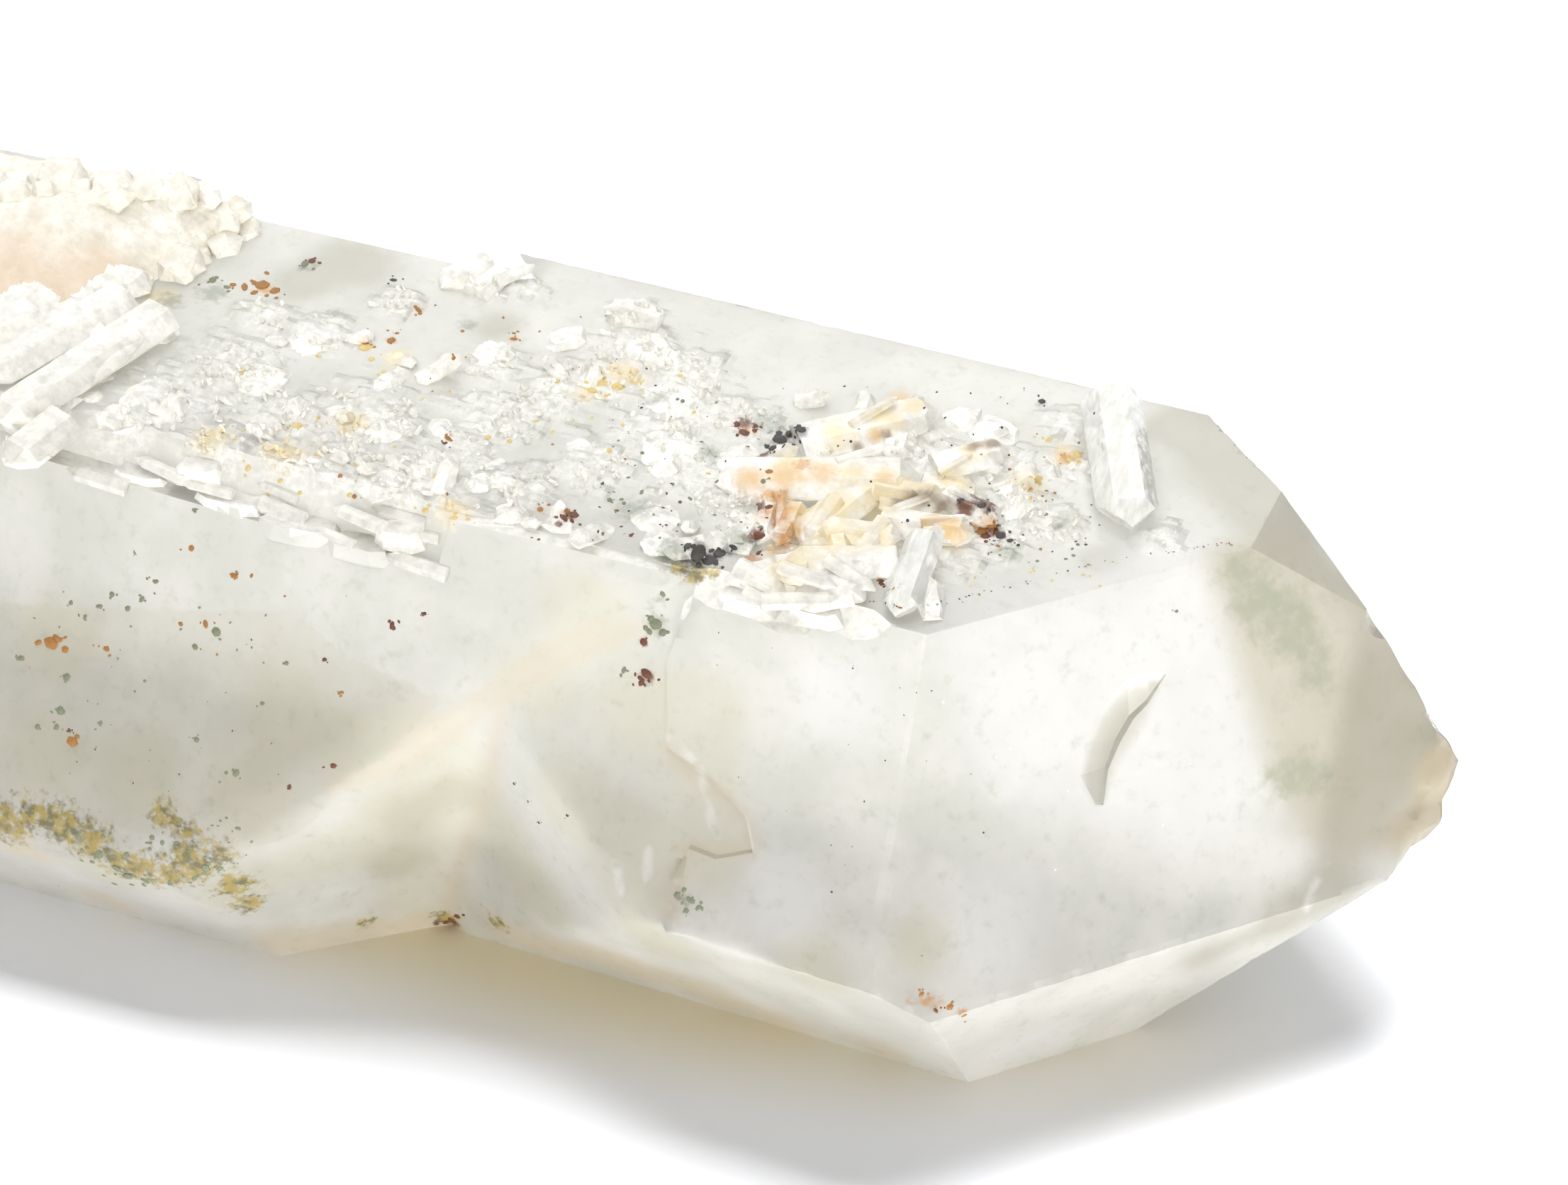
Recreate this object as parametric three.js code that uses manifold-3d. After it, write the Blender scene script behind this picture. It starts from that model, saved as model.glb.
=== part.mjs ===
// A milky quartz crystal from the Himalaya, lying on one of its prism faces. A second crystal has grown
// parallel to it along the front, and small crystals, a druse and a block of matrix sit on the top face.
// The specimen is one grown piece, so everything is joined in one solid.

// Millimetres. x runs along the main crystal towards its tip, y away from the front, z up. While it is
// made, every place is measured from the centre, a point on the main crystal's axis. At the end the
// solid is moved so that the origin is the middle of its footprint.

import * as THREE from 'three';
import { ConvexGeometry } from 'three/addons/geometries/ConvexGeometry.js';
import { mergeVertices } from 'three/addons/utils/BufferGeometryUtils.js';
import Module from 'manifold-3d';

const wasm = await Module();
wasm.setup();

// Driving dimensions

// From the axis down to the prism face that the crystal lies on, half its height.
const FLOOR_DEPTH = 17.7;
// How far a termination face of quartz leans back from the prism face below it, in degrees.
const RHOMB_LEAN = 38.2;

// The faces of the main crystal. turn is the angle round the axis, from the top towards the front, lean
// is how far the face's normal leans towards the tip, both in degrees, and reach is its distance from
// the centre. The faces of a real crystal stray a degree or two from the ideal 60 and 38.2.
const MAIN_FACES = {
  top: { turn: -0.2, lean: 0.7, reach: 17.7 },
  front: { turn: 59.9, lean: -0.4, reach: 18.0 },
  lowerFront: { turn: 120.3, lean: -2.1, reach: 20.4 },
  bottom: { turn: 180, lean: 0, reach: FLOOR_DEPTH },
  lowerBack: { turn: 240, lean: 0, reach: 18.0 },
  back: { turn: 300, lean: 0.8, reach: 23.9 },
  topTip: { turn: 0.8, lean: RHOMB_LEAN + 1.3, reach: 33.8 },
  frontTip: { turn: 58.9, lean: RHOMB_LEAN + 0.9, reach: 24.05 },
  lowerFrontTip: { turn: 119, lean: RHOMB_LEAN + 1.7, reach: 28.9 },
  bottomTip: { turn: 180.5, lean: RHOMB_LEAN + 1, reach: 32.0 },
  lowerBackTip: { turn: 240, lean: RHOMB_LEAN, reach: 34.3 },
  backTip: { turn: 299.6, lean: RHOMB_LEAN - 0.6, reach: 34.2 },
};

// The broken root of the main crystal, a few rough faces that look away from the tip.
const MAIN_ROOT = {
  rootFront: { turn: 48, lean: -66, reach: 70.5 },
  rootBack: { turn: -75, lean: -70, reach: 71 },
  rootTop: { turn: 8, lean: -58, reach: 66 },
  rootBelow: { turn: 165, lean: -72, reach: 72.5 },
  rootMiddle: { turn: 110, lean: -84, reach: 74 },
};

// The front of the main crystal lies lower behind an old growth layer, whose edge shows as a step.
const LAYER_THICKNESS = 0.35;
// The layer's edge on the front face, as x and z.
const LAYER_EDGE = [
  [-0.1, 16.5], [-1.2, 12.4], [-0.1, 7.6], [3.2, 6.6], [5.9, 5.1], [6.8, 3.2],
  [4.4, 2.3], [2.5, 2.5], [1.7, 0.6], [2.0, -4.5],
];

// The side crystal is parallel to the main one, a little proud of its front, and ends in one large face.
const SIDE_FACES = {
  front: { turn: 60, lean: 0.5, reach: 18.2 },
  lowerFront: { turn: 120, lean: 0, reach: 25.35 },
  bottom: { turn: 180, lean: 0, reach: FLOOR_DEPTH },
  top: { turn: -0.2, lean: 0.7, reach: 17.6 },
  tip: { turn: 108, lean: 34.5, reach: 3.3 },
  heart: { turn: 270, lean: 0, reach: 4 },
  rootFront: { turn: 70, lean: -62, reach: 69 },
  rootBelow: { turn: 150, lean: -74, reach: 68.5 },
};

// Along the left of the side crystal its upper edge has come away, which leaves a ledge.
const SIDE_LEDGE = {
  floor: { turn: 0, lean: 2.6, reach: 13.9 },
  end: { turn: 20, lean: -80, reach: 20.4 },
};

// The slanting face that cuts the main crystal's front lower edge and meets the side crystal's tip.
const VALLEY_FACE = { turn: 93, lean: -25.2, reach: 19.6 };

// Where the back edge of the top face has broken away: a slanting face, and its two ends.
const BACK_CHIPS = [
  {
    face: { turn: -50.3, lean: 0, reach: 22.95 },
    ends: [{ turn: -60, lean: -68, reach: 54.5 }, { turn: -60, lean: 42, reach: 1.6 }],
  },
  {
    face: { turn: -52, lean: -1.5, reach: 25.6 },
    ends: [{ turn: -60, lean: -80, reach: 90 }, { turn: -60, lean: 70, reach: -40 }],
  },
];

// The crystal's point is chipped.
const TIP_CHIPS = [
  { turn: 75, lean: 62, reach: 37.1 },
  { turn: 205, lean: 74, reach: 46.8 },
];

// Bites broken out of edges: a ball that dips into the surface. at is the ball's middle.
const BITES = [
  { at: [41.2, 8.2, 11.2], radius: 1.9 },
  { at: [1.6, -13.0, 20.4], radius: 4.6 },
  { at: [6.2, -13.4, 20.0], radius: 4.7 },
  { at: [10.8, -12.8, 20.2], radius: 4.2 },
  { at: [-22.5, -14.0, 19.6], radius: 4.5 },
  { at: [-33.5, -13.6, 20.2], radius: 4.4 },
  { at: [-76.5, -8, 12], radius: 9 },
  { at: [-79, 9, 2], radius: 10 },
  { at: [-76, -14, -8], radius: 8 },
  { at: [-75, 16, -10], radius: 7 },
];

// A crescent chip in the large tip face. Each row has the soft edge and the sharp edge, as x and z on
// that face, from its upper end to its lower end.
const CRESCENT_ROWS = [
  { soft: [28.1, 11.6], sharp: [28.9, 11.1] },
  { soft: [26.8, 11.6], sharp: [28.25, 9.7] },
  { soft: [25.9, 10.4], sharp: [27.6, 9.0] },
  { soft: [25.3, 8.4], sharp: [27.1, 7.8] },
  { soft: [25.3, 6.5], sharp: [26.75, 6.4] },
  { soft: [26.4, 4.5], sharp: [26.85, 4.3] },
];
const CRESCENT_DEPTH = 0.8;

// Single crystals on the top face. from and to are x and y of the two ends. lift raises the axis over
// the face at each end. width lies in the face and height stands off it.
const TOP_CRYSTALS = [
  { name: 'clear crystal', from: [19.5, 14.6], to: [24.9, 2.4], lift: [1.5, 0.7], width: 3.7, height: 3.0 },
  { name: 'small clear crystal', from: [12.9, -3.4], to: [13.6, -10.6], lift: [1.3, 0.5], width: 2.3, height: 2.0 },
  { name: 'peach blade', from: [-1.2, -1.0], to: [10.6, 2.9], lift: [0.6, 1.0], width: 4.3, height: 1.8 },
  { name: 'peach blade foot', from: [5.4, 2.4], to: [-2.6, -1.8], lift: [0.3, 0.2], width: 3.2, height: 1.2 },
  { name: 'upper blade', from: [1.4, 3.9], to: [9.2, 10.2], lift: [0.6, 0.9], width: 3.4, height: 1.6 },
  { name: 'blade beside it', from: [2.6, 2.9], to: [8.4, 7.4], lift: [0.2, 0.4], width: 2.0, height: 1.0 },
  { name: 'round crystal', from: [7.2, 7.8], to: [7.8, 4.2], lift: [0.3, 0.4], width: 2.4, height: 1.5 },
  { name: 'tan crystal', from: [10.6, 4.8], to: [15.0, 8.2], lift: [0.4, 0.8], width: 2.6, height: 1.5 },
  { name: 'smoky crystal', from: [8.6, 0.8], to: [13.4, 1.0], lift: [0.5, 1.0], width: 2.6, height: 1.9 },
  { name: 'brown crystal', from: [12.4, 1.7], to: [17.0, 0.6], lift: [0.7, 0.7], width: 1.9, height: 1.6 },
  { name: 'orange crystal', from: [9.4, -1.9], to: [15.9, -1.1], lift: [0.6, 0.8], width: 2.1, height: 1.8 },
  { name: 'cream crystal 1', from: [7.2, 0.6], to: [5.0, -6.2], lift: [0.7, 0.6], width: 3.0, height: 1.7 },
  { name: 'cream crystal 2', from: [6.2, -4.0], to: [11.6, -3.2], lift: [0.7, 0.7], width: 2.0, height: 1.6 },
  { name: 'cream crystal 3', from: [11.6, -5.2], to: [4.6, -8.2], lift: [0.4, 0.6], width: 2.9, height: 1.8 },
  { name: 'cream crystal 4', from: [5.6, -7.7], to: [11.2, -9.3], lift: [0.3, 0.4], width: 2.2, height: 1.4 },
  { name: 'small crystal 1', from: [7.4, -4.8], to: [10.0, -9.4], lift: [0.7, 0.4], width: 1.6, height: 1.4 },
  { name: 'small crystal 2', from: [1.9, -1.8], to: [2.7, -7.0], lift: [0.5, 0.5], width: 1.7, height: 1.4 },
  { name: 'small crystal 3', from: [3.6, -2.4], to: [3.8, -6.6], lift: [0.5, 0.5], width: 1.4, height: 1.2 },
  { name: 'green crystal 1', from: [-0.6, -8.0], to: [-3.6, -9.6], lift: [0.3, 0.3], width: 1.9, height: 1.2 },
  { name: 'green crystal 2', from: [1.7, -4.4], to: [0.6, -7.6], lift: [0.3, 0.3], width: 1.9, height: 1.2 },
  { name: 'ledge crystal', from: [4.4, -8.4], to: [1.6, -10.6], lift: [0.1, -0.2], width: 1.9, height: 1.4 },
  { name: 'bump 1', from: [-26.0, 15.6], to: [-28.2, 11.6], lift: [-0.1, 0.1], width: 2.4, height: 1.8 },
  { name: 'bump 2', from: [-25.4, 11.8], to: [-24.2, 15.8], lift: [0.0, 0.0], width: 2.2, height: 1.6 },
  { name: 'left blade', from: [-43.8, 1.2], to: [-48.9, -13.6], lift: [0.8, 0.7], width: 3.4, height: 2.4 },
  { name: 'left blade behind', from: [-47.4, 2.6], to: [-52.4, -9.6], lift: [0.5, 0.4], width: 3.0, height: 2.0 },
  { name: 'outer blade', from: [-52.0, -1.8], to: [-58.5, -12.6], lift: [0.7, 0.5], width: 3.4, height: 2.4 },
  { name: 'left lobe', from: [-45.0, -11.0], to: [-47.0, -16.4], lift: [0.3, -0.4], width: 3.6, height: 2.2 },
];

// Thin flakes that lie on the top face: middle as x and y, size along x, across y, and upwards.
const FLAKES = [
  { at: [-14.2, 13.6], size: [4.2, 3.2, 0.9], turn: 12 },
  { at: [-11.6, 10.2], size: [3.6, 3.0, 0.7], turn: -20 },
  { at: [-17.6, 9.4], size: [3.2, 2.2, 0.6], turn: 30 },
];

// Broken ledges between the top face and the side crystal: middle, size, and turn about z.
const LEDGES = [
  { at: [-27.4, -12.0, 15.1], size: [6.4, 2.0, 1.5], turn: 2 },
  { at: [-23.2, -12.2, 14.9], size: [5.0, 2.1, 1.3], turn: -3 },
  { at: [-20.4, -11.4, 16.1], size: [3.4, 1.9, 1.6], turn: 5 },
  { at: [-32.8, -11.6, 15.5], size: [5.0, 1.8, 1.3], turn: -2 },
  { at: [-35.4, -10.8, 16.9], size: [3.6, 2.0, 1.3], turn: 8 },
  { at: [-39.6, -11.4, 15.7], size: [4.6, 1.7, 1.2], turn: 0 },
  { at: [-14.6, -9.9, 17.4], size: [4.0, 1.7, 1.0], turn: 4 },
  { at: [3.6, -10.9, 17.0], size: [4.6, 1.9, 1.1], turn: -6 },
  { at: [8.2, -10.6, 17.0], size: [4.0, 1.8, 1.1], turn: 3 },
];

// The corners of the block of matrix on the far left of the top face.
const MATRIX_CORNERS = [
  [-53.0, -4.8, 17.8], [-50.0, -0.4, 18.2], [-48.3, 3.9, 18.4], [-44.2, 9.8, 17.6], [-43.6, 13.4, 16.4],
  [-57.2, 3.9, 23.2], [-52.9, 6.6, 23.3], [-50.6, 9.0, 23.2], [-47.6, 11.4, 22.6], [-44.0, 13.2, 20.1],
  [-46.0, 8.3, 20.4], [-49.4, 14.8, 16.6], [-58.0, 14.6, 17.0], [-66.5, 11.5, 21.2], [-69.5, 2.0, 20.6],
  [-64.0, -6.0, 17.0], [-70.0, 8.0, 12.0], [-61.0, 0.5, 23.0],
];

// Lumps of matrix: middle, mean radius, and how flat they are.
const MATRIX_LUMPS = [
  { at: [-44.6, 12.4, 19.6], radius: 1.5, flat: 0.8 },
  { at: [-47.2, 11.2, 21.8], radius: 1.7, flat: 0.8 },
  { at: [-51.0, 8.9, 22.6], radius: 1.9, flat: 0.7 },
  { at: [-45.6, 7.4, 18.8], radius: 1.8, flat: 0.7 },
  { at: [-47.8, 4.4, 18.8], radius: 1.7, flat: 0.7 },
  { at: [-50.2, 0.2, 18.5], radius: 1.6, flat: 0.6 },
  { at: [-55.0, 8.6, 22.6], radius: 2.2, flat: 0.7 },
  { at: [-60.0, 6.0, 22.2], radius: 2.6, flat: 0.7 },
  { at: [-66.0, 3.0, 20.6], radius: 3.2, flat: 0.8 },
  { at: [-67.5, 9.5, 19.5], radius: 3.0, flat: 0.8 },
  { at: [-70.5, 4.0, 15.5], radius: 4.2, flat: 0.9 },
  { at: [-68.0, 15.0, 11.5], radius: 4.6, flat: 0.9 },
  { at: [-71.5, -5.0, 10.0], radius: 3.6, flat: 0.9 },
];

// Crumbs of matrix along the block's edges: the points that a row of them follows.
const MATRIX_RIMS = [
  [
    [-43.6, 13.2, 18.2], [-44.2, 10.0, 18.4], [-46.2, 7.4, 18.5],
    [-48.3, 3.8, 18.7], [-50.0, -0.4, 18.6], [-53.0, -5.0, 18.3],
  ],
  [
    [-43.8, 13.2, 19.8], [-46.8, 11.5, 22.0], [-50.8, 8.9, 23.0],
    [-54.5, 7.0, 23.0], [-59.0, 4.6, 22.8],
  ],
];
const CRUMB_SPACING = 2.3;

// Stout crystals at the back and round the root, which the matrix holds: foot, direction, length, width.
const ROOT_CRYSTALS = [
  { foot: [-58, 13, 8], towards: [0.30, 0.85, 0.22], length: 12, width: 7 },
  { foot: [-65, 10, 8], towards: [-0.28, 0.88, 0.28], length: 15, width: 7.5 },
  { foot: [-61, 13, -2], towards: [0.40, 0.90, 0.02], length: 13.5, width: 6.5 },
  { foot: [-66, 0, 13], towards: [-0.55, -0.25, 0.62], length: 9, width: 5 },
  { foot: [-66, -12, -2], towards: [-0.75, -0.60, -0.05], length: 10, width: 6 },
  { foot: [-68, 8, -6], towards: [-0.90, 0.42, -0.02], length: 9, width: 5.5 },
];

// The druse, a crust of tiny crystals and grains over the lower half of the top face. The rows give the
// far side of the crust as x and y, and its near side follows the front edge of the top face.
const DRUSE_FAR_SIDE = [[-47, 2], [-41, 4], [-26, 7], [-15, 11.5], [-6, 11], [3, 11.5], [13, 11], [17, 6]];
const DRUSE_NEAR_SIDE = -9.4;
const DRUSE_CRYSTALS = 54;
const DRUSE_GRAINS = 40;
const DRUSE_SEED = 20;

// Colours of the pale, slightly green-grey quartz.
const QUARTZ_COLOUR = 0xdedcd2;
const QUARTZ_ROUGHNESS = 0.3;

// The solid is kept inside this box while its faces are cut, larger than any part of it.
const WORK_SPACE = 90;
const SAME_POINT = 1e-4;

// Geometry helpers

const radians = THREE.MathUtils.degToRad;

// The outward normal of a face from its turn round the axis and its lean towards the tip.
function faceNormal({ turn, lean }) {
  const around = radians(turn);
  const along = radians(lean);
  return new THREE.Vector3(
    Math.sin(along),
    -Math.sin(around) * Math.cos(along),
    Math.cos(around) * Math.cos(along),
  );
}

function facePlane(face) {
  return new THREE.Plane(faceNormal(face), -face.reach);
}

function flipped(plane) {
  return plane.clone().negate();
}

// Six planes of a large box, which close a solid that its own faces leave open.
function workSpace() {
  return [[1, 0, 0], [-1, 0, 0], [0, 1, 0], [0, -1, 0], [0, 0, 1], [0, 0, -1]].map(
    (normal) => new THREE.Plane(new THREE.Vector3(...normal), -WORK_SPACE),
  );
}

// The point that three planes share, or null where two of them are parallel.
function meeting(a, b, c) {
  const acrossBC = b.normal.clone().cross(c.normal);
  const scale = a.normal.dot(acrossBC);
  if (Math.abs(scale) < 1e-6) {
    return null;
  }
  const acrossCA = c.normal.clone().cross(a.normal);
  const acrossAB = a.normal.clone().cross(b.normal);
  return acrossBC.multiplyScalar(-a.constant)
    .addScaledVector(acrossCA, -b.constant)
    .addScaledVector(acrossAB, -c.constant)
    .divideScalar(scale);
}

// The corners of the convex body that lies behind every plane.
function bodyCorners(planes) {
  const corners = [];
  for (let i = 0; i < planes.length; i += 1) {
    for (let j = i + 1; j < planes.length; j += 1) {
      for (let k = j + 1; k < planes.length; k += 1) {
        const point = meeting(planes[i], planes[j], planes[k]);
        const inside = point && planes.every((plane) => plane.distanceToPoint(point) < SAME_POINT);
        if (inside && !corners.some((other) => other.distanceTo(point) < SAME_POINT)) {
          corners.push(point);
        }
      }
    }
  }
  return corners;
}

function vectors(rows) {
  return rows.map((row) => new THREE.Vector3(...row));
}

// A closed geometry as a solid that can be joined and cut.
function solid(geometry) {
  const bare = geometry.clone();
  bare.deleteAttribute('normal');
  bare.deleteAttribute('uv');
  const merged = mergeVertices(bare, SAME_POINT);
  const mesh = new wasm.Mesh({
    numProp: 3,
    vertProperties: new Float32Array(merged.attributes.position.array),
    triVerts: new Uint32Array(merged.index.array),
  });
  return new wasm.Manifold(mesh);
}

function hull(points) {
  return solid(new ConvexGeometry(points));
}

function bodyOf(planes) {
  return hull(bodyCorners(planes));
}

function joined(solids) {
  return solids.reduce((whole, next) => whole.add(next));
}

// Random numbers from 0 to 1 that are the same on every run.
function seededRandom(seed) {
  let state = seed;
  return () => {
    state = (state * 1664525 + 1013904223) % 4294967296;
    return state / 4294967296;
  };
}

const random = seededRandom(DRUSE_SEED);

function between(low, high) {
  return low + (high - low) * random();
}

// Height of the main crystal's top face over the centre.
const topPlane = facePlane(MAIN_FACES.top);
function topHeight(x, y) {
  const { normal, constant } = topPlane;
  return (-constant - normal.x * x - normal.y * y) / normal.z;
}

// A point on a face of the main crystal that has the given x and z.
function pointOnFace(face, x, z) {
  const { normal, constant } = facePlane(face);
  return new THREE.Vector3(x, (-constant - normal.x * x - normal.z * z) / normal.y, z);
}

// A six-sided crystal with a pointed end, from its foot to its tip. Its sides and its tip faces are
// uneven, as they are on real ones. up is the direction of its height. The point has six faces, or
// three on the smallest crystals, where capStep is 2.
function quartzPoint({ foot, tip, up, width, height, capStep = 1 }) {
  const axis = tip.clone().sub(foot);
  const length = axis.length();
  const forward = axis.normalize();
  const side = forward.clone().cross(up).normalize();
  const rise = side.clone().cross(forward);
  const planes = [new THREE.Plane(forward.clone().negate(), forward.dot(foot))];
  for (let k = 0; k < 6; k += 1) {
    const around = radians(60 * k + 30);
    const outward = side.clone().multiplyScalar(Math.cos(around) * height)
      .addScaledVector(rise, Math.sin(around) * width)
      .normalize();
    const diameter = Math.hypot(outward.dot(side) * width, outward.dot(rise) * height);
    const reach = 0.5 * diameter * between(0.88, 1.0);
    planes.push(new THREE.Plane(outward, -outward.dot(foot) - reach));
    if (k % capStep === 0) {
      const slope = radians(RHOMB_LEAN);
      const cap = outward.clone().multiplyScalar(Math.cos(slope)).addScaledVector(forward, Math.sin(slope));
      const apexCut = between(0.0, 0.22) * Math.min(width, height) * (k % 2);
      planes.push(new THREE.Plane(cap, -cap.dot(foot) - Math.sin(slope) * length + apexCut));
    }
  }
  return bodyOf(planes);
}

// A rough lump: a stretched ball of a few uneven corners.
function lump({ at, radius, flat }) {
  const corners = [];
  const ball = new THREE.IcosahedronGeometry(1, 0);
  const places = mergeVertices(ball, SAME_POINT).attributes.position;
  const spin = new THREE.Euler(between(0, 3), between(0, 3), between(0, 3));
  for (let k = 0; k < places.count; k += 1) {
    const corner = new THREE.Vector3().fromBufferAttribute(places, k).applyEuler(spin);
    corner.multiplyScalar(radius * between(0.75, 1.15));
    corner.z *= flat;
    corners.push(corner.add(at));
  }
  return hull(corners);
}

// A thin broken slab with uneven corners.
function slab({ at, size, turn }) {
  const corners = [];
  const spin = new THREE.Euler(0, 0, radians(turn));
  for (const [x, y] of [[-1, -0.5], [-0.6, -1], [0.5, -1], [1, -0.4], [0.9, 0.7], [0.2, 1], [-0.8, 0.8]]) {
    for (const z of [-1, 1]) {
      const taper = z > 0 ? between(0.62, 0.9) : between(0.9, 1.1);
      const corner = new THREE.Vector3(
        0.5 * size[0] * x * taper,
        0.5 * size[1] * y * taper,
        0.5 * size[2] * z * between(0.8, 1),
      );
      corners.push(corner.applyEuler(spin).add(at));
    }
  }
  return hull(corners);
}

// The pieces that are joined

// The main crystal, with its front lying back where the old growth layer has gone.
function mainCrystal() {
  const faces = Object.values({ ...MAIN_FACES, ...MAIN_ROOT }).map(facePlane);
  const outer = bodyOf(faces);
  const worn = { ...MAIN_FACES, ...MAIN_ROOT };
  worn.front = { ...MAIN_FACES.front, reach: MAIN_FACES.front.reach - LAYER_THICKNESS };
  const inner = bodyOf(Object.values(worn).map(facePlane));
  return inner.add(growthLayer().intersect(outer));
}

// The growth layer: a plate over the right of the front face, ended by the stepped edge.
function growthLayer() {
  const outline = new THREE.Shape();
  LAYER_EDGE.forEach(([x, z], k) => (k === 0 ? outline.moveTo(x, z) : outline.lineTo(x, z)));
  outline.lineTo(40, -20);
  outline.lineTo(40, 22);
  outline.lineTo(LAYER_EDGE[0][0], 22);
  const depth = 60;
  const plate = new THREE.ExtrudeGeometry(outline, { depth, bevelEnabled: false });
  // The outline is drawn in x and z, so the plate is stood up and runs from the front to the axis.
  plate.rotateX(radians(90));
  const { normal, constant } = facePlane(MAIN_FACES.front);
  const behind = new THREE.Plane(normal, constant + LAYER_THICKNESS + 1).negate();
  return solid(plate).intersect(bodyOf([behind, ...workSpace()]));
}

function sideCrystal() {
  const lostEdge = bodyOf([
    flipped(facePlane(SIDE_LEDGE.floor)),
    flipped(facePlane(SIDE_LEDGE.end)),
    ...workSpace(),
  ]);
  return bodyOf(Object.values(SIDE_FACES).map(facePlane)).subtract(lostEdge);
}

// The wedge that the valley face takes off the main crystal, up to just inside the side crystal.
function valleyWedge() {
  const hidden = { ...SIDE_FACES.tip, reach: SIDE_FACES.tip.reach - 1 };
  return bodyOf([
    flipped(facePlane(VALLEY_FACE)),
    flipped(facePlane(hidden)),
    ...workSpace(),
  ]);
}

function backWedges() {
  return BACK_CHIPS.map(({ face, ends }) => bodyOf([
    flipped(facePlane(face)),
    ...ends.map(facePlane),
    ...workSpace(),
  ]));
}

function tipWedges() {
  return TIP_CHIPS.map((chip) => bodyOf([flipped(facePlane(chip)), ...workSpace()]));
}

function bites() {
  return BITES.map(({ at, radius }) => {
    const ball = new THREE.IcosahedronGeometry(radius, 2);
    ball.translate(...at);
    return solid(ball);
  });
}

// The crescent chip: wedges from nothing at the soft edge to full depth at the sharp edge.
function crescentWedges() {
  const face = MAIN_FACES.frontTip;
  const inward = faceNormal(face).multiplyScalar(-CRESCENT_DEPTH);
  const outward = inward.clone().multiplyScalar(-0.5);
  const rows = CRESCENT_ROWS.map(({ soft, sharp }, k) => {
    const share = Math.sin(Math.PI * (k + 0.35) / (CRESCENT_ROWS.length - 0.3));
    const softPoint = pointOnFace(face, ...soft);
    const sharpPoint = pointOnFace(face, ...sharp);
    const floor = sharpPoint.clone().addScaledVector(inward, share);
    return [softPoint, sharpPoint.clone().add(outward), floor, softPoint.clone().add(outward)];
  });
  return rows.slice(1).map((row, k) => hull([...row, ...rows[k]]));
}

function topCrystals() {
  const up = new THREE.Vector3(0, 0, 1);
  return TOP_CRYSTALS.map(({ from, to, lift, width, height }) => quartzPoint({
    foot: new THREE.Vector3(...from, topHeight(...from) + lift[0]),
    tip: new THREE.Vector3(...to, topHeight(...to) + lift[1]),
    up,
    width,
    height,
  }));
}

function flakes() {
  return FLAKES.map(({ at, size, turn }) => slab({
    at: new THREE.Vector3(...at, topHeight(...at) + 0.3 * size[2]),
    size,
    turn,
  }));
}

function ledges() {
  return LEDGES.map(({ at, size, turn }) => slab({ at: new THREE.Vector3(...at), size, turn }));
}

function matrixBlock() {
  const lumps = MATRIX_LUMPS.map(({ at, radius, flat }) => lump({
    at: new THREE.Vector3(...at),
    radius,
    flat,
  }));
  return joined([hull(vectors(MATRIX_CORNERS)), ...lumps, ...matrixCrumbs()]);
}

function matrixCrumbs() {
  return MATRIX_RIMS.flatMap((rim) => {
    const route = new THREE.CatmullRomCurve3(vectors(rim));
    const count = Math.round(route.getLength() / CRUMB_SPACING);
    return route.getSpacedPoints(count).map((at) => lump({ at, radius: between(0.8, 1.5), flat: 0.8 }));
  });
}

function rootCrystals() {
  return ROOT_CRYSTALS.map(({ foot, towards, length, width }) => {
    const start = new THREE.Vector3(...foot);
    const direction = new THREE.Vector3(...towards).normalize();
    return quartzPoint({
      foot: start,
      tip: start.clone().addScaledVector(direction, length),
      up: new THREE.Vector3(1, 0, 0.2).normalize(),
      width,
      height: width * 0.9,
    });
  });
}

// The far side of the druse at a given x, from its rows.
function druseFarSide(x) {
  const next = DRUSE_FAR_SIDE.findIndex(([rowX]) => rowX > x);
  const [x0, y0] = DRUSE_FAR_SIDE[next - 1];
  const [x1, y1] = DRUSE_FAR_SIDE[next];
  return y0 + (y1 - y0) * (x - x0) / (x1 - x0);
}

// A random place in the druse, more often near the front edge than at its far side.
function drusePlace() {
  const x = between(DRUSE_FAR_SIDE[0][0], DRUSE_FAR_SIDE.at(-1)[0] - 0.5);
  const share = random() ** 1.5;
  return [x, DRUSE_NEAR_SIDE + (druseFarSide(x) - DRUSE_NEAR_SIDE) * share];
}

function druse() {
  const pieces = [];
  for (let k = 0; k < DRUSE_CRYSTALS; k += 1) {
    const [x, y] = drusePlace();
    const heading = radians(between(0, 360));
    const rise = radians(between(4, 38));
    const width = between(0.8, 1.7);
    const length = width * between(1.4, 2.6);
    const foot = new THREE.Vector3(x, y, topHeight(x, y) - 0.2 * width);
    const step = new THREE.Vector3(
      Math.cos(heading) * Math.cos(rise),
      Math.sin(heading) * Math.cos(rise),
      Math.sin(rise),
    );
    pieces.push(quartzPoint({
      foot,
      tip: foot.clone().addScaledVector(step, length),
      up: new THREE.Vector3(0, 0, 1),
      width,
      height: width * between(0.6, 0.9),
      capStep: 2,
    }));
  }
  for (let k = 0; k < DRUSE_GRAINS; k += 1) {
    const [x, y] = drusePlace();
    const radius = between(0.8, 2.1);
    pieces.push(lump({ at: new THREE.Vector3(x, y, topHeight(x, y) - 0.1), radius, flat: between(0.2, 0.42) }));
  }
  return pieces;
}

// Putting it together

// The outer surface of a body, without the small gaps that are sealed between the grown pieces.
function withoutGaps(body) {
  return body.decompose().reduce((largest, next) => (next.volume() > largest.volume() ? next : largest));
}

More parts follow.
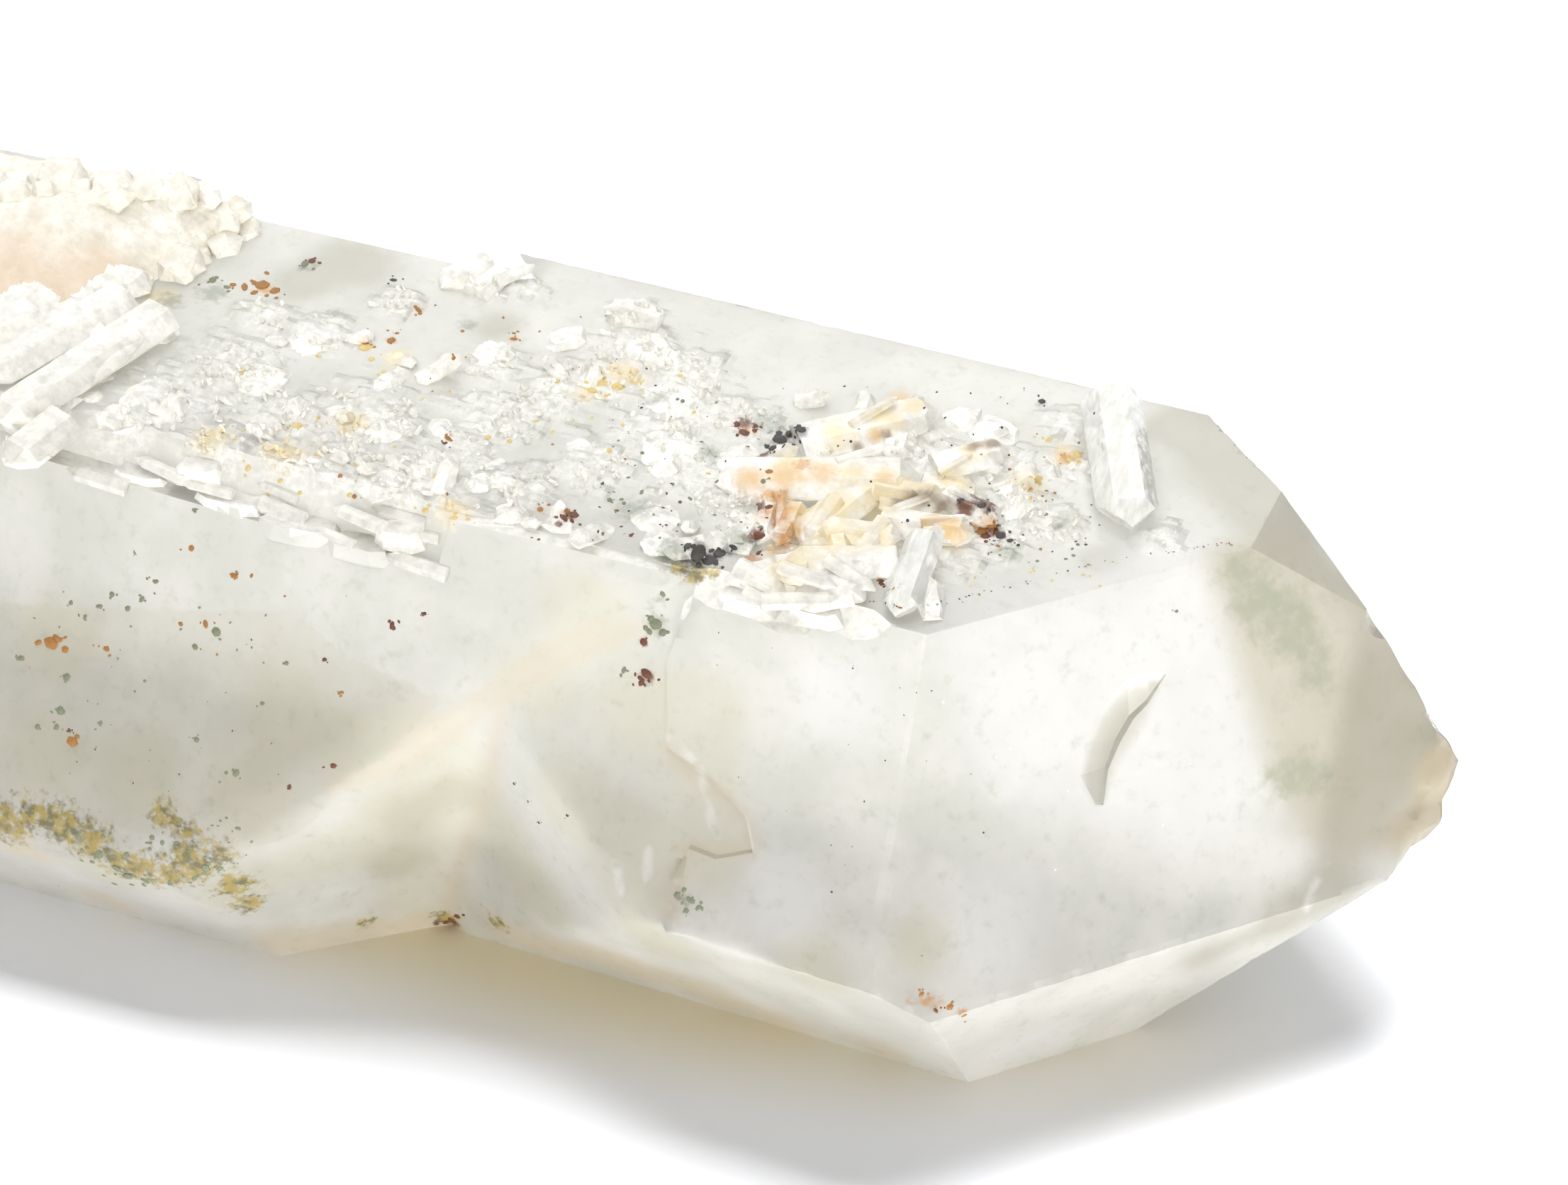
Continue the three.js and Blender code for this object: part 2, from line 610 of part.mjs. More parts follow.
function specimen() {
  const bare = joined([
    mainCrystal().subtract(valleyWedge()),
    sideCrystal(),
  ]);
  const broken = [...backWedges(), ...tipWedges(), ...bites(), ...crescentWedges()]
    .reduce((body, cut) => body.subtract(cut), bare);
  const grown = joined([
    broken,
    matrixBlock(),
    ...rootCrystals(),
    ...topCrystals(),
    ...flakes(),
    ...ledges(),
    ...druse(),
  ]);
  // Nothing reaches below the face that the crystal lies on.
  const aboveFloor = bodyOf([facePlane(MAIN_FACES.bottom), ...workSpace()]);
  return withoutGaps(grown.intersect(aboveFloor));
}

function geometryOf(body) {
  const mesh = body.getMesh();
  const geometry = new THREE.BufferGeometry();
  geometry.setAttribute('position', new THREE.Float32BufferAttribute(mesh.vertProperties, 3));
  geometry.setIndex(new THREE.Uint32BufferAttribute(mesh.triVerts, 1));
  return geometry;
}

const geometry = geometryOf(specimen());
geometry.computeBoundingBox();
const middle = geometry.boundingBox.getCenter(new THREE.Vector3());
geometry.translate(-middle.x, -middle.y, -geometry.boundingBox.min.z);
geometry.computeVertexNormals();

const quartz = new THREE.Mesh(
  geometry,
  new THREE.MeshStandardMaterial({
    color: QUARTZ_COLOUR,
    roughness: QUARTZ_ROUGHNESS,
    metalness: 0,
    flatShading: true,
  }),
);
quartz.name = 'quartz_crystal';

const group = new THREE.Group();
group.add(quartz);

export default group;
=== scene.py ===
"""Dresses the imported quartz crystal: surfaces, fine growth, stains, specks and the studio.

Places on the crystal are in millimetres from its centre, as in the model's source, or are pixels of the
photograph, which are cast through the camera onto the crystal.
"""

import math
import random

import bmesh
import bpy
import numpy as np
from mathutils import Matrix, Vector, noise
from mathutils.bvhtree import BVHTree


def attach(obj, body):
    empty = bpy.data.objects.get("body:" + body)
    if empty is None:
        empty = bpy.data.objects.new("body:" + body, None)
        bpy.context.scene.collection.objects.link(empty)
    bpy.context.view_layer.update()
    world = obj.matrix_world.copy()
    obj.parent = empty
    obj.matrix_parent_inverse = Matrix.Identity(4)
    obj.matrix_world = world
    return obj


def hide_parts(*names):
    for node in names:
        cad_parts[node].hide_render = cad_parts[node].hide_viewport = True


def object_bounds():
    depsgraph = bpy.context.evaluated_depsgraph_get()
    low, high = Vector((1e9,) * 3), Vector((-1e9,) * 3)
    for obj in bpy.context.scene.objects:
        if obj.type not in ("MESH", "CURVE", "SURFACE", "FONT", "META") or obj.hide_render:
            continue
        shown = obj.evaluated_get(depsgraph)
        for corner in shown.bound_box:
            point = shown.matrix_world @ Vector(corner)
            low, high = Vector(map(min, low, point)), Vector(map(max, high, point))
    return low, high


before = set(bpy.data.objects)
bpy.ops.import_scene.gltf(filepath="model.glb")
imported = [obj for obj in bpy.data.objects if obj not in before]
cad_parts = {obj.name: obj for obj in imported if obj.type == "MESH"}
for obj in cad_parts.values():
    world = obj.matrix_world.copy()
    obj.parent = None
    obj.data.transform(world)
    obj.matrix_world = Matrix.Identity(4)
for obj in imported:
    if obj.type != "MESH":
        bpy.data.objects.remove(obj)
CAD_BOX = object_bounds()

bl_info = {
    "name": "Milky Quartz Crystal",
    "version": (1, 0, 0),
    "blender": (4, 5, 0),
    "location": "View3D > Sidebar > Quartz",
    "description": "Dresses a packed quartz crystal with its surfaces, fine growth, stains and studio",
    "category": "Object",
}

NODE = "quartz_crystal"
MM = 0.001

# The crystal's centre, a point on its axis, from the frame: so far behind the tip, behind the front and
# over the floor, in millimetres.
TIP_REACH = 46.33
FRONT_REACH = 25.48
FLOOR_DEPTH = 17.7
CENTRE = Vector((
    CAD_BOX[1][0] / MM - TIP_REACH,
    CAD_BOX[0][1] / MM + FRONT_REACH,
    FLOOR_DEPTH,
))

# The flat faces of the two large crystals: turn round the axis from the top towards the front, lean
# towards the tip, both in degrees, and distance from the centre.
FACES = {
    "top": (-0.2, 0.7, 17.7),
    "front": (59.9, -0.4, 18.0),
    "front_worn": (59.9, -0.4, 17.65),
    "lower_front": (120.3, -2.1, 20.4),
    "bottom": (180, 0, 17.7),
    "lower_back": (240, 0, 18.0),
    "back": (300, 0.8, 23.9),
    "top_tip": (0.8, 39.5, 33.8),
    "front_tip": (58.9, 39.1, 24.05),
    "lower_front_tip": (119, 39.9, 28.9),
    "bottom_tip": (180.5, 39.2, 32.0),
    "lower_back_tip": (240, 38.2, 34.3),
    "back_tip": (299.6, 37.6, 34.2),
    "side_front": (60, 0.5, 18.2),
    "side_lower_front": (120, 0, 25.35),
    "side_tip": (108, 34.5, 3.3),
    "valley": (93, -25.2, 19.6),
}

# The camera, from a fit of the faces to the photograph.
PHOTO_SIZE = (2212, 1671)
CAMERA_PLACE = (95.5, -237.6, 221.5)
CAMERA_AZIMUTH = 21.53
CAMERA_ELEVATION = 39.81
CAMERA_ROLL = -0.955
SENSOR_WIDTH = 36.0
FOCAL_PIXELS = 7053
# The width of a pixel of the photograph at the crystal, in millimetres.
PIXEL = 0.048


# Helpers for places

def clamped(share):
    return max(0.0, min(1.0, share))


def face_normal(turn, lean):
    around, along = math.radians(turn), math.radians(lean)
    return Vector((
        math.sin(along),
        -math.sin(around) * math.cos(along),
        math.cos(around) * math.cos(along),
    ))


def at(x, y, z):
    """A place given in millimetres from the crystal's centre, in metres in the frame."""
    return (Vector((x, y, z)) + CENTRE) * MM


def top_height(x, y):
    """Height of the top face over the centre, in millimetres."""
    turn, lean, reach = FACES["top"]
    normal = face_normal(turn, lean)
    return (reach - normal.x * x - normal.y * y) / normal.z


def camera_axes():
    """The camera's right, up and backward directions."""
    azimuth, elevation = math.radians(CAMERA_AZIMUTH), math.radians(CAMERA_ELEVATION)
    backward = Vector((
        math.sin(azimuth) * math.cos(elevation),
        -math.cos(azimuth) * math.cos(elevation),
        math.sin(elevation),
    ))
    right = Vector((0, 0, 1)).cross(backward).normalized()
    up = backward.cross(right)
    roll = math.radians(CAMERA_ROLL)
    return (
        math.cos(roll) * right + math.sin(roll) * up,
        -math.sin(roll) * right + math.cos(roll) * up,
        backward,
    )


class PhotoCaster:
    """Casts pixels of the photograph through the camera onto the crystal."""

    def __init__(self, obj):
        mesh = obj.data
        self.tree = BVHTree.FromPolygons(
            [v.co.copy() for v in mesh.vertices],
            [tuple(p.vertices) for p in mesh.polygons],
        )
        self.eye = at(*CAMERA_PLACE)
        self.right, self.up, self.backward = camera_axes()

    def hit(self, px, py):
        """The place in metres and the face's normal under a pixel."""
        x = (px - PHOTO_SIZE[0] / 2) / FOCAL_PIXELS
        y = (PHOTO_SIZE[1] / 2 - py) / FOCAL_PIXELS
        way = (self.right * x + self.up * y - self.backward).normalized()
        place, normal, _, _ = self.tree.ray_cast(self.eye, way)
        if place is None:
            raise RuntimeError(f"pixel {px}, {py} isn't on the crystal")
        return place, normal

    def try_hit(self, px, py):
        """As hit, but None for a pixel beside the crystal."""
        try:
            return self.hit(px, py)
        except RuntimeError:
            return None


caster = PhotoCaster(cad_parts[NODE])


def spot(px, py):
    """A pixel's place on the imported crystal, in millimetres from its centre."""
    return caster.hit(px, py)[0] / MM - CENTRE


# Helpers for materials

def srgb(red, green, blue):
    """A colour given as the screen shows it, from 0 to 255, as the linear one that shaders use."""
    def linear(level):
        share = level / 255
        return share / 12.92 if share <= 0.04045 else ((share + 0.055) / 1.055) ** 2.4
    return (linear(red), linear(green), linear(blue), 1.0)


class Value:
    """A socket with Python's operators, each of which adds a Math node."""

    def __init__(self, shader, socket):
        self.shader = shader
        self.socket = socket

    def math(self, operation, *others):
        return self.shader.node("ShaderNodeMath", {"operation": operation}, *others)

    def __add__(self, other):
        return self.math("ADD", self, other)

    def __sub__(self, other):
        return self.math("SUBTRACT", self, other)

    def __mul__(self, other):
        return self.math("MULTIPLY", self, other)


class Shader:
    """A material's nodes. Its point is the surface's place in millimetres from the crystal's centre."""

    def __init__(self, name):
        self.material = bpy.data.materials.new(name)
        self.material.use_nodes = True
        self.rims = {}
        self.tree = self.material.node_tree
        self.tree.nodes.clear()
        self.output = self.tree.nodes.new("ShaderNodeOutputMaterial")
        here = self.node("ShaderNodeTexCoord", output="Object")
        self.point = self.vector("MULTIPLY_ADD", here, (1 / MM,) * 3, tuple(-CENTRE))

    def node(self, kind, settings=None, *values, output=0, **named):
        """Adds a node with its settings, then fills or links its inputs, and returns one output."""
        made = self.tree.nodes.new(kind)
        for key, setting in (settings or {}).items():
            setattr(made, key, setting)
        inputs = list(enumerate(values)) + [(key.replace("_", " "), v) for key, v in named.items()]
        for key, value in inputs:
            self.fill(made.inputs[key], value)
        return Value(self, made.outputs[output])

    def fill(self, socket, value):
        """Links or sets an input, and leaves it as it is where the value is None."""
        if isinstance(value, Value):
            self.tree.links.new(value.socket, socket)
        elif value is not None:
            socket.default_value = value

    def vector(self, operation, *values, output=0):
        return self.node("ShaderNodeVectorMath", {"operation": operation}, *values, output=output)

    def attribute(self, name):
        """A number that the mesh holds at each corner."""
        return self.node("ShaderNodeAttribute", {"attribute_name": name}, output="Fac")

    def noise(self, size, detail=3.0, roughness=0.55, stretch=(1, 1, 1), shift=0.0):
        """Smooth noise from 0 to 1 whose patches are about size millimetres wide."""
        scale = tuple(1 / (size * share) for share in stretch)
        place = self.vector("MULTIPLY_ADD", self.point, scale, (shift,) * 3)
        return self.node(
            "ShaderNodeTexNoise", {"noise_dimensions": "3D"},
            Vector=place, Scale=1.0, Detail=detail, Roughness=roughness,
        )

    def rim(self, size):
        """Noise for ragged rims, which marks with teeth of one size share."""
        if size not in self.rims:
            self.rims[size] = self.noise(size, detail=2.0, roughness=0.7, shift=2.9)
        return self.rims[size]

    def smooth(self, value, low, high):
        """0 below low and 1 above high, or the other way round if low is the larger."""
        settings = {"interpolation_type": "SMOOTHSTEP"}
        return self.node("ShaderNodeMapRange", settings, value, low, high, 0.0, 1.0)

    def mix(self, share, first, second):
        """Two colours mixed. The node's own inputs from 1 to 5 are for numbers and vectors."""
        unused = [None] * 5
        return self.node("ShaderNodeMix", {"data_type": "RGBA"}, share, *unused, first, second, output=2)

    def between(self, size, detail, roughness, span, first, second, **noise):
        """Two screen colours that take turns in patches, with a soft change over a span of the noise."""
        share = self.smooth(self.noise(size, detail, roughness, **noise), *span)
        return self.mix(share, srgb(*first), srgb(*second))

    def bump(self, height, strength, depth, normal=None):
        """A normal from a height, on top of another normal where one is given."""
        return self.node("ShaderNodeBump", Strength=strength, Distance=depth, Height=height, Normal=normal)

    def finish(self, absorption=None, **surface):
        """Gives the material its surface and, where the quartz is clear enough, its absorption."""
        shown = self.node("ShaderNodeBsdfPrincipled", **surface)
        self.tree.links.new(shown.socket, self.output.inputs["Surface"])
        if absorption:
            colour, density = absorption
            volume = self.node("ShaderNodeVolumeAbsorption", Color=colour, Density=density)
            self.tree.links.new(volume.socket, self.output.inputs["Volume"])
        return self.material


# Marks in and on the quartz

# Each row has a pixel of the photograph and a radius in millimetres. The name is also that of the mesh's
# attribute, which holds the distance to the nearest mark over its radius.
MARKS = {
    "rust": [
        (1330, 1418, 0.8), (1290, 1405, 0.8), (1360, 1428, 0.7), (1310, 1412, 0.7), (1095, 730, 1.7),
        (1085, 700, 1.2), (1110, 760, 1.3), (1375, 745, 1.2), (1395, 738, 0.9), (1060, 790, 0.9),
        (372, 408, 1.0), (590, 437, 0.6), (552, 480, 0.6), (515, 487, 0.8), (1055, 610, 1.0),
        (725, 478, 0.5), (632, 618, 0.5), (800, 728, 0.7), (765, 722, 0.5), (1135, 655, 1.0),
        (1510, 650, 1.0),
    ],
    "dark_rust": [
        (912, 955, 0.8), (907, 905, 0.4), (1400, 748, 0.9), (1412, 758, 0.7), (1075, 712, 0.6),
        (1068, 755, 0.7), (1050, 600, 0.9), (1080, 640, 0.8), (802, 728, 0.5), (788, 738, 0.4),
        (1365, 708, 1.3), (1390, 712, 0.9), (1245, 822, 0.4), (640, 1298, 0.7), (617, 1300, 0.5),
    ],
    "black": [
        (985, 775, 1.1), (1005, 785, 0.9), (1030, 778, 0.7), (1105, 620, 1.3), (1130, 610, 0.8),
        (970, 790, 0.8), (430, 378, 0.6), (968, 806, 0.6), (990, 808, 0.7),
    ],
    "moss": [
        (960, 800, 0.9), (980, 806, 1.0), (1005, 805, 0.8), (5, 1165, 2.2), (50, 1150, 1.8),
        (90, 1165, 2.0), (130, 1190, 2.0), (160, 1225, 2.1), (200, 1236, 2.3), (240, 1236, 1.9),
        (260, 1210, 1.6), (285, 1228, 2.0), (265, 1180, 1.5), (230, 1150, 1.4), (310, 1210, 1.6),
        (330, 1250, 1.9), (350, 1275, 1.6), (520, 1300, 0.9), (630, 1290, 1.3), (700, 1305, 1.2),
    ],
    "chlorite": [
        (945, 775, 2.0), (1040, 760, 1.8), (900, 720, 1.8), (300, 412, 1.6), (240, 425, 1.4),
        (440, 372, 0.8), (930, 845, 0.7), (925, 880, 1.1), (970, 1270, 0.7), (960, 1262, 0.6),
        (1000, 640, 1.4), (930, 560, 1.2), (1080, 600, 1.6), (660, 458, 1.0), (470, 440, 0.8),
        (1420, 780, 1.4), (1500, 740, 1.2), (1470, 570, 0.6),
    ],
    "cloud": [
        (1800, 865, 3.2), (1838, 892, 2.8), (1772, 838, 2.4), (1855, 950, 2.2), (1832, 1085, 2.2),
        (1800, 1100, 1.6), (1862, 1102, 1.6), (1745, 795, 1.6),
    ],
    "cream": [
        (1120, 790, 2.6), (1180, 760, 2.8), (1240, 700, 3.0), (1180, 715, 3.0), (1330, 745, 2.0),
        (1290, 690, 2.6), (1140, 720, 2.2), (1230, 750, 2.4), (1345, 680, 2.0), (880, 530, 2.2),
        (830, 560, 1.6), (640, 720, 1.8), (400, 640, 2.0), (500, 600, 1.6), (1110, 660, 2.2),
        (1200, 665, 1.6), (1370, 635, 1.6), (300, 620, 1.8), (1450, 690, 1.6), (1500, 640, 1.4),
        (230, 420, 1.6), (560, 500, 1.6), (1180, 610, 2.0), (1250, 590, 1.8), (1290, 570, 1.6),
    ],
    "peach": [
        (1060, 672, 1.8), (1110, 668, 2.0), (1160, 665, 1.8), (1110, 720, 1.6), (1120, 745, 1.4),
        (1270, 562, 1.4), (1345, 750, 1.6), (1310, 748, 1.4), (1090, 780, 1.0), (1250, 672, 1.2),
        (1210, 640, 1.1), (1235, 612, 1.0), (1310, 738, 1.2), (1100, 700, 1.4), (1500, 650, 1.2),
    ],
    "smoke": [
        (1300, 700, 1.4), (1330, 715, 1.2), (1270, 705, 1.1), (1375, 630, 0.9), (1400, 625, 0.8),
        (1360, 715, 1.0), (1210, 632, 0.6), (1250, 612, 0.6),
    ],
    # Painted light: lighter patches where light glows inside the quartz.
    "glow": [
        (1640, 880, 9.0), (1560, 1000, 9.0), (1640, 1040, 7.0), (1450, 1040, 6.5), (1180, 980, 5.0),
        (1400, 900, 5.0), (1690, 1130, 5.0), (1400, 1500, 4.0), (1480, 1465, 4.5), (1400, 1310, 6.0),
        (1100, 1270, 4.0),
    ],
    # Painted shade: darker, warmer tan along the bottom edges near the floor. The marks at the tip are its
    # brown stain.
    "warm": [
        (1000, 1400, 4.0), (900, 1365, 3.5), (1100, 1440, 3.5), (1240, 1480, 3.0), (520, 1310, 2.6),
        (590, 1300, 2.0), (400, 1330, 3.0), (750, 1330, 3.0), (2030, 1100, 2.5), (1990, 1180, 2.5),
        (850, 1350, 3.0), (30, 1200, 3.0), (150, 1270, 3.0), (450, 1325, 2.2), (640, 1295, 2.0),
        (700, 1315, 2.0), (2035, 1080, 2.0), (800, 1340, 2.4), (2030, 1140, 2.0),
    ],
    "crust": [
        (60, 600, 4.0), (160, 610, 4.0), (260, 560, 4.5), (330, 520, 4.0), (300, 640, 3.6),
        (400, 600, 4.6), (400, 660, 3.2), (480, 660, 3.6), (520, 590, 4.4), (560, 690, 3.0),
        (640, 640, 3.8), (640, 710, 2.4), (700, 590, 3.8), (740, 690, 2.8), (700, 520, 2.6),
        (780, 560, 3.4), (850, 540, 3.6), (900, 490, 3.6), (840, 660, 3.4), (920, 610, 3.4),
        (970, 530, 3.2), (1010, 590, 3.0), (980, 680, 3.2), (690, 400, 1.8), (740, 410, 1.6),
        (900, 440, 2.2), (560, 430, 2.0), (450, 470, 2.6), (380, 450, 2.4), (1050, 700, 3.6),
        (1150, 760, 3.6), (1130, 800, 2.4), (1250, 760, 3.0), (1180, 600, 2.6), (1300, 600, 2.8),
        (1300, 650, 3.2), (1420, 640, 2.8), (1440, 700, 3.0), (1400, 750, 3.0), (1480, 740, 2.4),
        (1350, 790, 2.0), (1500, 660, 2.4), (1060, 600, 2.6), (1640, 760, 1.6), (1500, 600, 2.0),
    ],
    # Painted shade: darker patches where the faces should lie in shade.
    "shade": [
        (1780, 690, 6.0), (1720, 625, 5.0), (1810, 745, 4.0), (1660, 600, 3.0), (500, 370, 5.0),
        (1850, 1050, 4.0), (1900, 980, 3.5), (1870, 1120, 3.5), (2000, 1060, 3.5), (700, 460, 2.6),
        (1800, 1300, 3.5), (1880, 1255, 3.5), (1700, 1350, 3.0), (580, 1150, 3.6), (560, 1215, 3.2),
        (650, 1110, 3.0), (420, 400, 3.0), (1550, 790, 2.4),
    ],
    # Painted shade: a warm, darker tone on the lower and side faces, where less light comes through the
    # quartz.
    "straw": [
        (810, 850, 3.0), (450, 1210, 4.0), (580, 1180, 4.0), (700, 1170, 4.0), (800, 1130, 4.0),
        (600, 1260, 4.0), (350, 1120, 4.0), (500, 1060, 3.5), (200, 1090, 4.0), (60, 1060, 4.0),
        (880, 1250, 4.0), (400, 1000, 4.0), (1000, 1200, 3.4), (1300, 1330, 2.8), (930, 1330, 4.0),
        (760, 960, 4.0), (650, 1090, 4.0), (880, 1180, 4.0), (900, 1000, 4.0), (1000, 1000, 3.5),
        (600, 1050, 4.0), (330, 1250, 4.0), (150, 1230, 4.0), (80, 900, 4.0), (760, 1260, 4.0),
        (1150, 1380, 3.5), (840, 880, 3.0), (560, 1140, 4.0), (610, 1190, 4.0), (1000, 1100, 3.4),
    ],
    "peach_matrix": [
        (20, 380, 5.0), (80, 400, 5.0), (140, 390, 4.0), (60, 450, 3.0),
    ],
    # Painted shade in the crescent-shaped conchoidal chip.
    "crescent": [
        (1628, 967, 0.5), (1605, 985, 1.1), (1586, 1005, 1.6), (1569, 1030, 1.7), (1557, 1055, 1.5),
        (1549, 1080, 1.3), (1546, 1105, 1.0), (1550, 1125, 0.6),
    ],
}

# The outline of the old crystal that shows in the front as a darker zone, as pixels of the photograph.
PHANTOM = [
    (-60, 850), (180, 860), (410, 862), (435, 880), (470, 915), (600, 975), (625, 985), (590, 1020),
    (540, 1070), (470, 1110), (440, 1180), (330, 1200), (-60, 1120),
]
# The outline of the darker zone towards the tip.
TIP_ZONE = [
    (1690, 770), (1712, 860), (1740, 950), (1775, 1040), (1800, 1110), (1822, 1170), (1890, 1230),
    (2040, 1180), (2120, 1050), (1980, 850), (1820, 700),
]
# Healed cracks that show as faint lines.
CRACKS = [
    [(470, 1110), (560, 1080), (700, 990), (780, 940), (860, 900), (920, 880)],
    [(560, 1060), (690, 975), (770, 920), (850, 880)],
    [(705, 1010), (690, 1110), (665, 1170), (640, 1250), (635, 1295)],
    [(940, 1060), (1050, 1150), (1060, 1200), (970, 1195), (945, 1290)],
]
# Thin white veils inside the quartz.
VEILS = [
    [(868, 1215), (876, 1260)],
    [(915, 1195), (912, 1240)],
    [(1880, 868), (1905, 905), (1925, 985)],
    [(1893, 1175), (1866, 1220), (1842, 1282)],
    [(945, 1040), (985, 1080), (1010, 1180)],
]
# Ridges that are worn round: how wide in millimetres, and where, as pixels of the photograph.
RIDGES = [
    (2.6, [(331, 1199), (470, 1110), (689, 985), (840, 905), (951, 825)]),
    (2.4, [(689, 995), (643, 1301)]),
    (3.8, [(689, 995), (918, 1308)]),
    (2.4, [(-60, 1172), (160, 1225), (314, 1262), (397, 1340)]),
    (2.6, [(711, 1315), (918, 1308), (1050, 1340)]),
]


# Materials

# The teeth of the marks' ragged rims, in millimetres.
FINE_TEETH = 0.6
TEETH = 1.1
WIDE_TEETH = 3.5

# Marks are laid over the colour in this order: kind of mark, how ragged its rim is, its teeth, how soft its
# rim is, how much it hides, and its colour.
# The first marks are painted shade, painted light and a painted warm shade, laid where faces must look darker
# or lighter than the lamps make them.
PAINTED_LIGHT_AND_SHADE = [
    ("shade", 0.3, WIDE_TEETH, 0.95, 0.75, (173, 170, 154)),
    ("glow", 0.3, WIDE_TEETH, 0.95, 0.4, (240, 240, 243)),
    ("straw", 0.15, WIDE_TEETH, 0.7, 0.48, (201, 197, 171)),
]
STAINS = [
    # The warm marks are painted shade along the bottom edges near the floor, and brown stain at the tip.
    ("warm", 0.4, WIDE_TEETH, 0.9, 0.45, (216, 196, 158)),
    ("cloud", 1.0, TEETH, 1.3, 0.82, (152, 156, 130)),
    ("cream", 0.6, TEETH, 0.95, 0.8, (234, 216, 168)),
    ("peach", 0.35, TEETH, 0.95, 0.9, (218, 178, 116)),
    ("smoke", 0.4, TEETH, 0.8, 0.85, (132, 108, 82)),
    ("chlorite", 0.9, FINE_TEETH, 0.9, 0.6, (112, 124, 100)),
    ("moss", 1.1, FINE_TEETH, 0.75, 0.9, (184, 160, 66)),
    ("rust", 0.8, FINE_TEETH, 0.9, 0.85, (202, 142, 62)),
    ("dark_rust", 0.9, FINE_TEETH, 0.6, 0.9, (104, 52, 30)),
    ("black", 0.9, FINE_TEETH, 0.8, 0.75, (62, 60, 60)),
]
MATRIX_STAINS = [("peach_matrix", 0.4, WIDE_TEETH, 0.9, 0.8, (204, 184, 160))]
DARK_MOSS = (116, 108, 52)

# Zones and lines inside the quartz: the mesh's attribute, how much its rim wobbles, the distances in
# millimetres at which it starts and is full, how much it hides, and its colour.
ZONES = [
    ("phantom", 1.0, 0.25, -0.25, 0.26, (188, 180, 154)),
    ("tip_zone", 0.6, 1.2, -1.8, 0.84, (187, 181, 163)),
    ("cracks", 0.3, 1.1, 0.0, 0.4, (208, 190, 164)),
    ("veils", 0.5, 0.5, 0.0, 0.45, (248, 248, 246)),
]
# Painted shade in the crescent chip.
PAINTED_CRESCENT_SHADE = (188, 185, 170)

SPECK_COLOURS = {
    "orange": (152, 104, 44),
    "red": (100, 56, 34),
    "green": (116, 122, 98),
    "black": (58, 54, 52),
    "yellow": (206, 184, 122),
    "white": (252, 252, 250),
}

# How much quartz bends light, and the colour it leaves, with how strongly it absorbs the rest.
QUARTZ_IOR = 1.544
MILKY_ABSORPTION = (srgb(226, 225, 212), 9.0)
CLEAR_ABSORPTION = (srgb(244, 244, 240), 4.0)

# The warm tint of the floor, painted light and shadow where light passes through the crystal: its middle and
# half its width along x and y, in millimetres.
TINT_MIDDLE = (-12, -6)
TINT_HALF = (46, 15)


def stain(shader, name, ragged, teeth, soft, strength):
    """How much of a mark shows at the point, with a ragged rim."""
    away = shader.attribute(name) + (shader.rim(teeth) - 0.5) * (2 * ragged)
    return shader.smooth(away, 1.0, 1.0 - soft) * strength


def stained(shader, colour, rows):
    """The colour with marks laid over it."""
    for name, ragged, teeth, soft, strength, tint in rows:
        shown = srgb(*tint)
        if name == "moss":
            shown = shader.between(0.8, 3.0, 0.55, (0.4, 0.6), tint, DARK_MOSS, shift=2.2)
        colour = shader.mix(stain(shader, name, ragged, teeth, soft, strength), colour, shown)
    return colour


def quartz_material(colours):
    shader = Shader("milky_quartz")
    colour = shader.between(6.0, 4.0, 0.6, (0.35, 0.7), colours["grey"], colours["milk"])
    # Painted shade and painted light over the quartz's own colour.
    colour = stained(shader, colour, PAINTED_LIGHT_AND_SHADE)
    wobble = (shader.noise(1.6, detail=3.0) - 0.5) * 1.2
    for name, uneven, begins, full, strength, tint in ZONES:
        share = shader.smooth(shader.attribute(name) + wobble * uneven, begins, full)
        colour = shader.mix(share * strength, colour, srgb(*tint))
    crusty = stain(shader, "crust", 0.7, TEETH, 0.8, 0.9)
    frosted = shader.between(0.7, 4.0, 0.7, (0.38, 0.62), colours["milk"], colours["bright"], shift=3.1)
    colour = stained(shader, shader.mix(crusty, colour, frosted), STAINS)
    # Painted shade in the crescent chip, darker over its soft side.
    painted_chip_shade = shader.smooth(shader.attribute("crescent"), 1.25, 0.5) * 0.75
    fine = shader.noise(1.2, detail=4.0, roughness=0.55, stretch=(0.5, 2.0, 2.0))
    grit = shader.noise(0.3, detail=4.0, roughness=0.7) * crusty
    return shader.finish(
        MILKY_ABSORPTION,
        IOR=QUARTZ_IOR,
        Transmission_Weight=0.5,
        Base_Color=shader.mix(painted_chip_shade, colour, srgb(*PAINTED_CRESCENT_SHADE)),
        Roughness=shader.noise(1.5, detail=1.0) * 0.16 + 0.26 + crusty * 0.2,
        Normal=shader.bump(grit, 0.5, 0.08 * MM, shader.bump(fine, 0.1, 0.01 * MM)),
    )


def growth_material(colours):
    shader = Shader("growth_quartz")
    colour = shader.between(0.9, 4.0, 0.65, (0.3, 0.62), colours["milk"], colours["young"])
    return shader.finish(
        IOR=QUARTZ_IOR,
        Transmission_Weight=0.4,
        Base_Color=stained(shader, colour, STAINS),
        Roughness=shader.noise(0.9, detail=1.0) * 0.2 + 0.25,
        Normal=shader.bump(shader.noise(0.3, detail=3.0, roughness=0.6), 0.4, 0.04 * MM),
    )


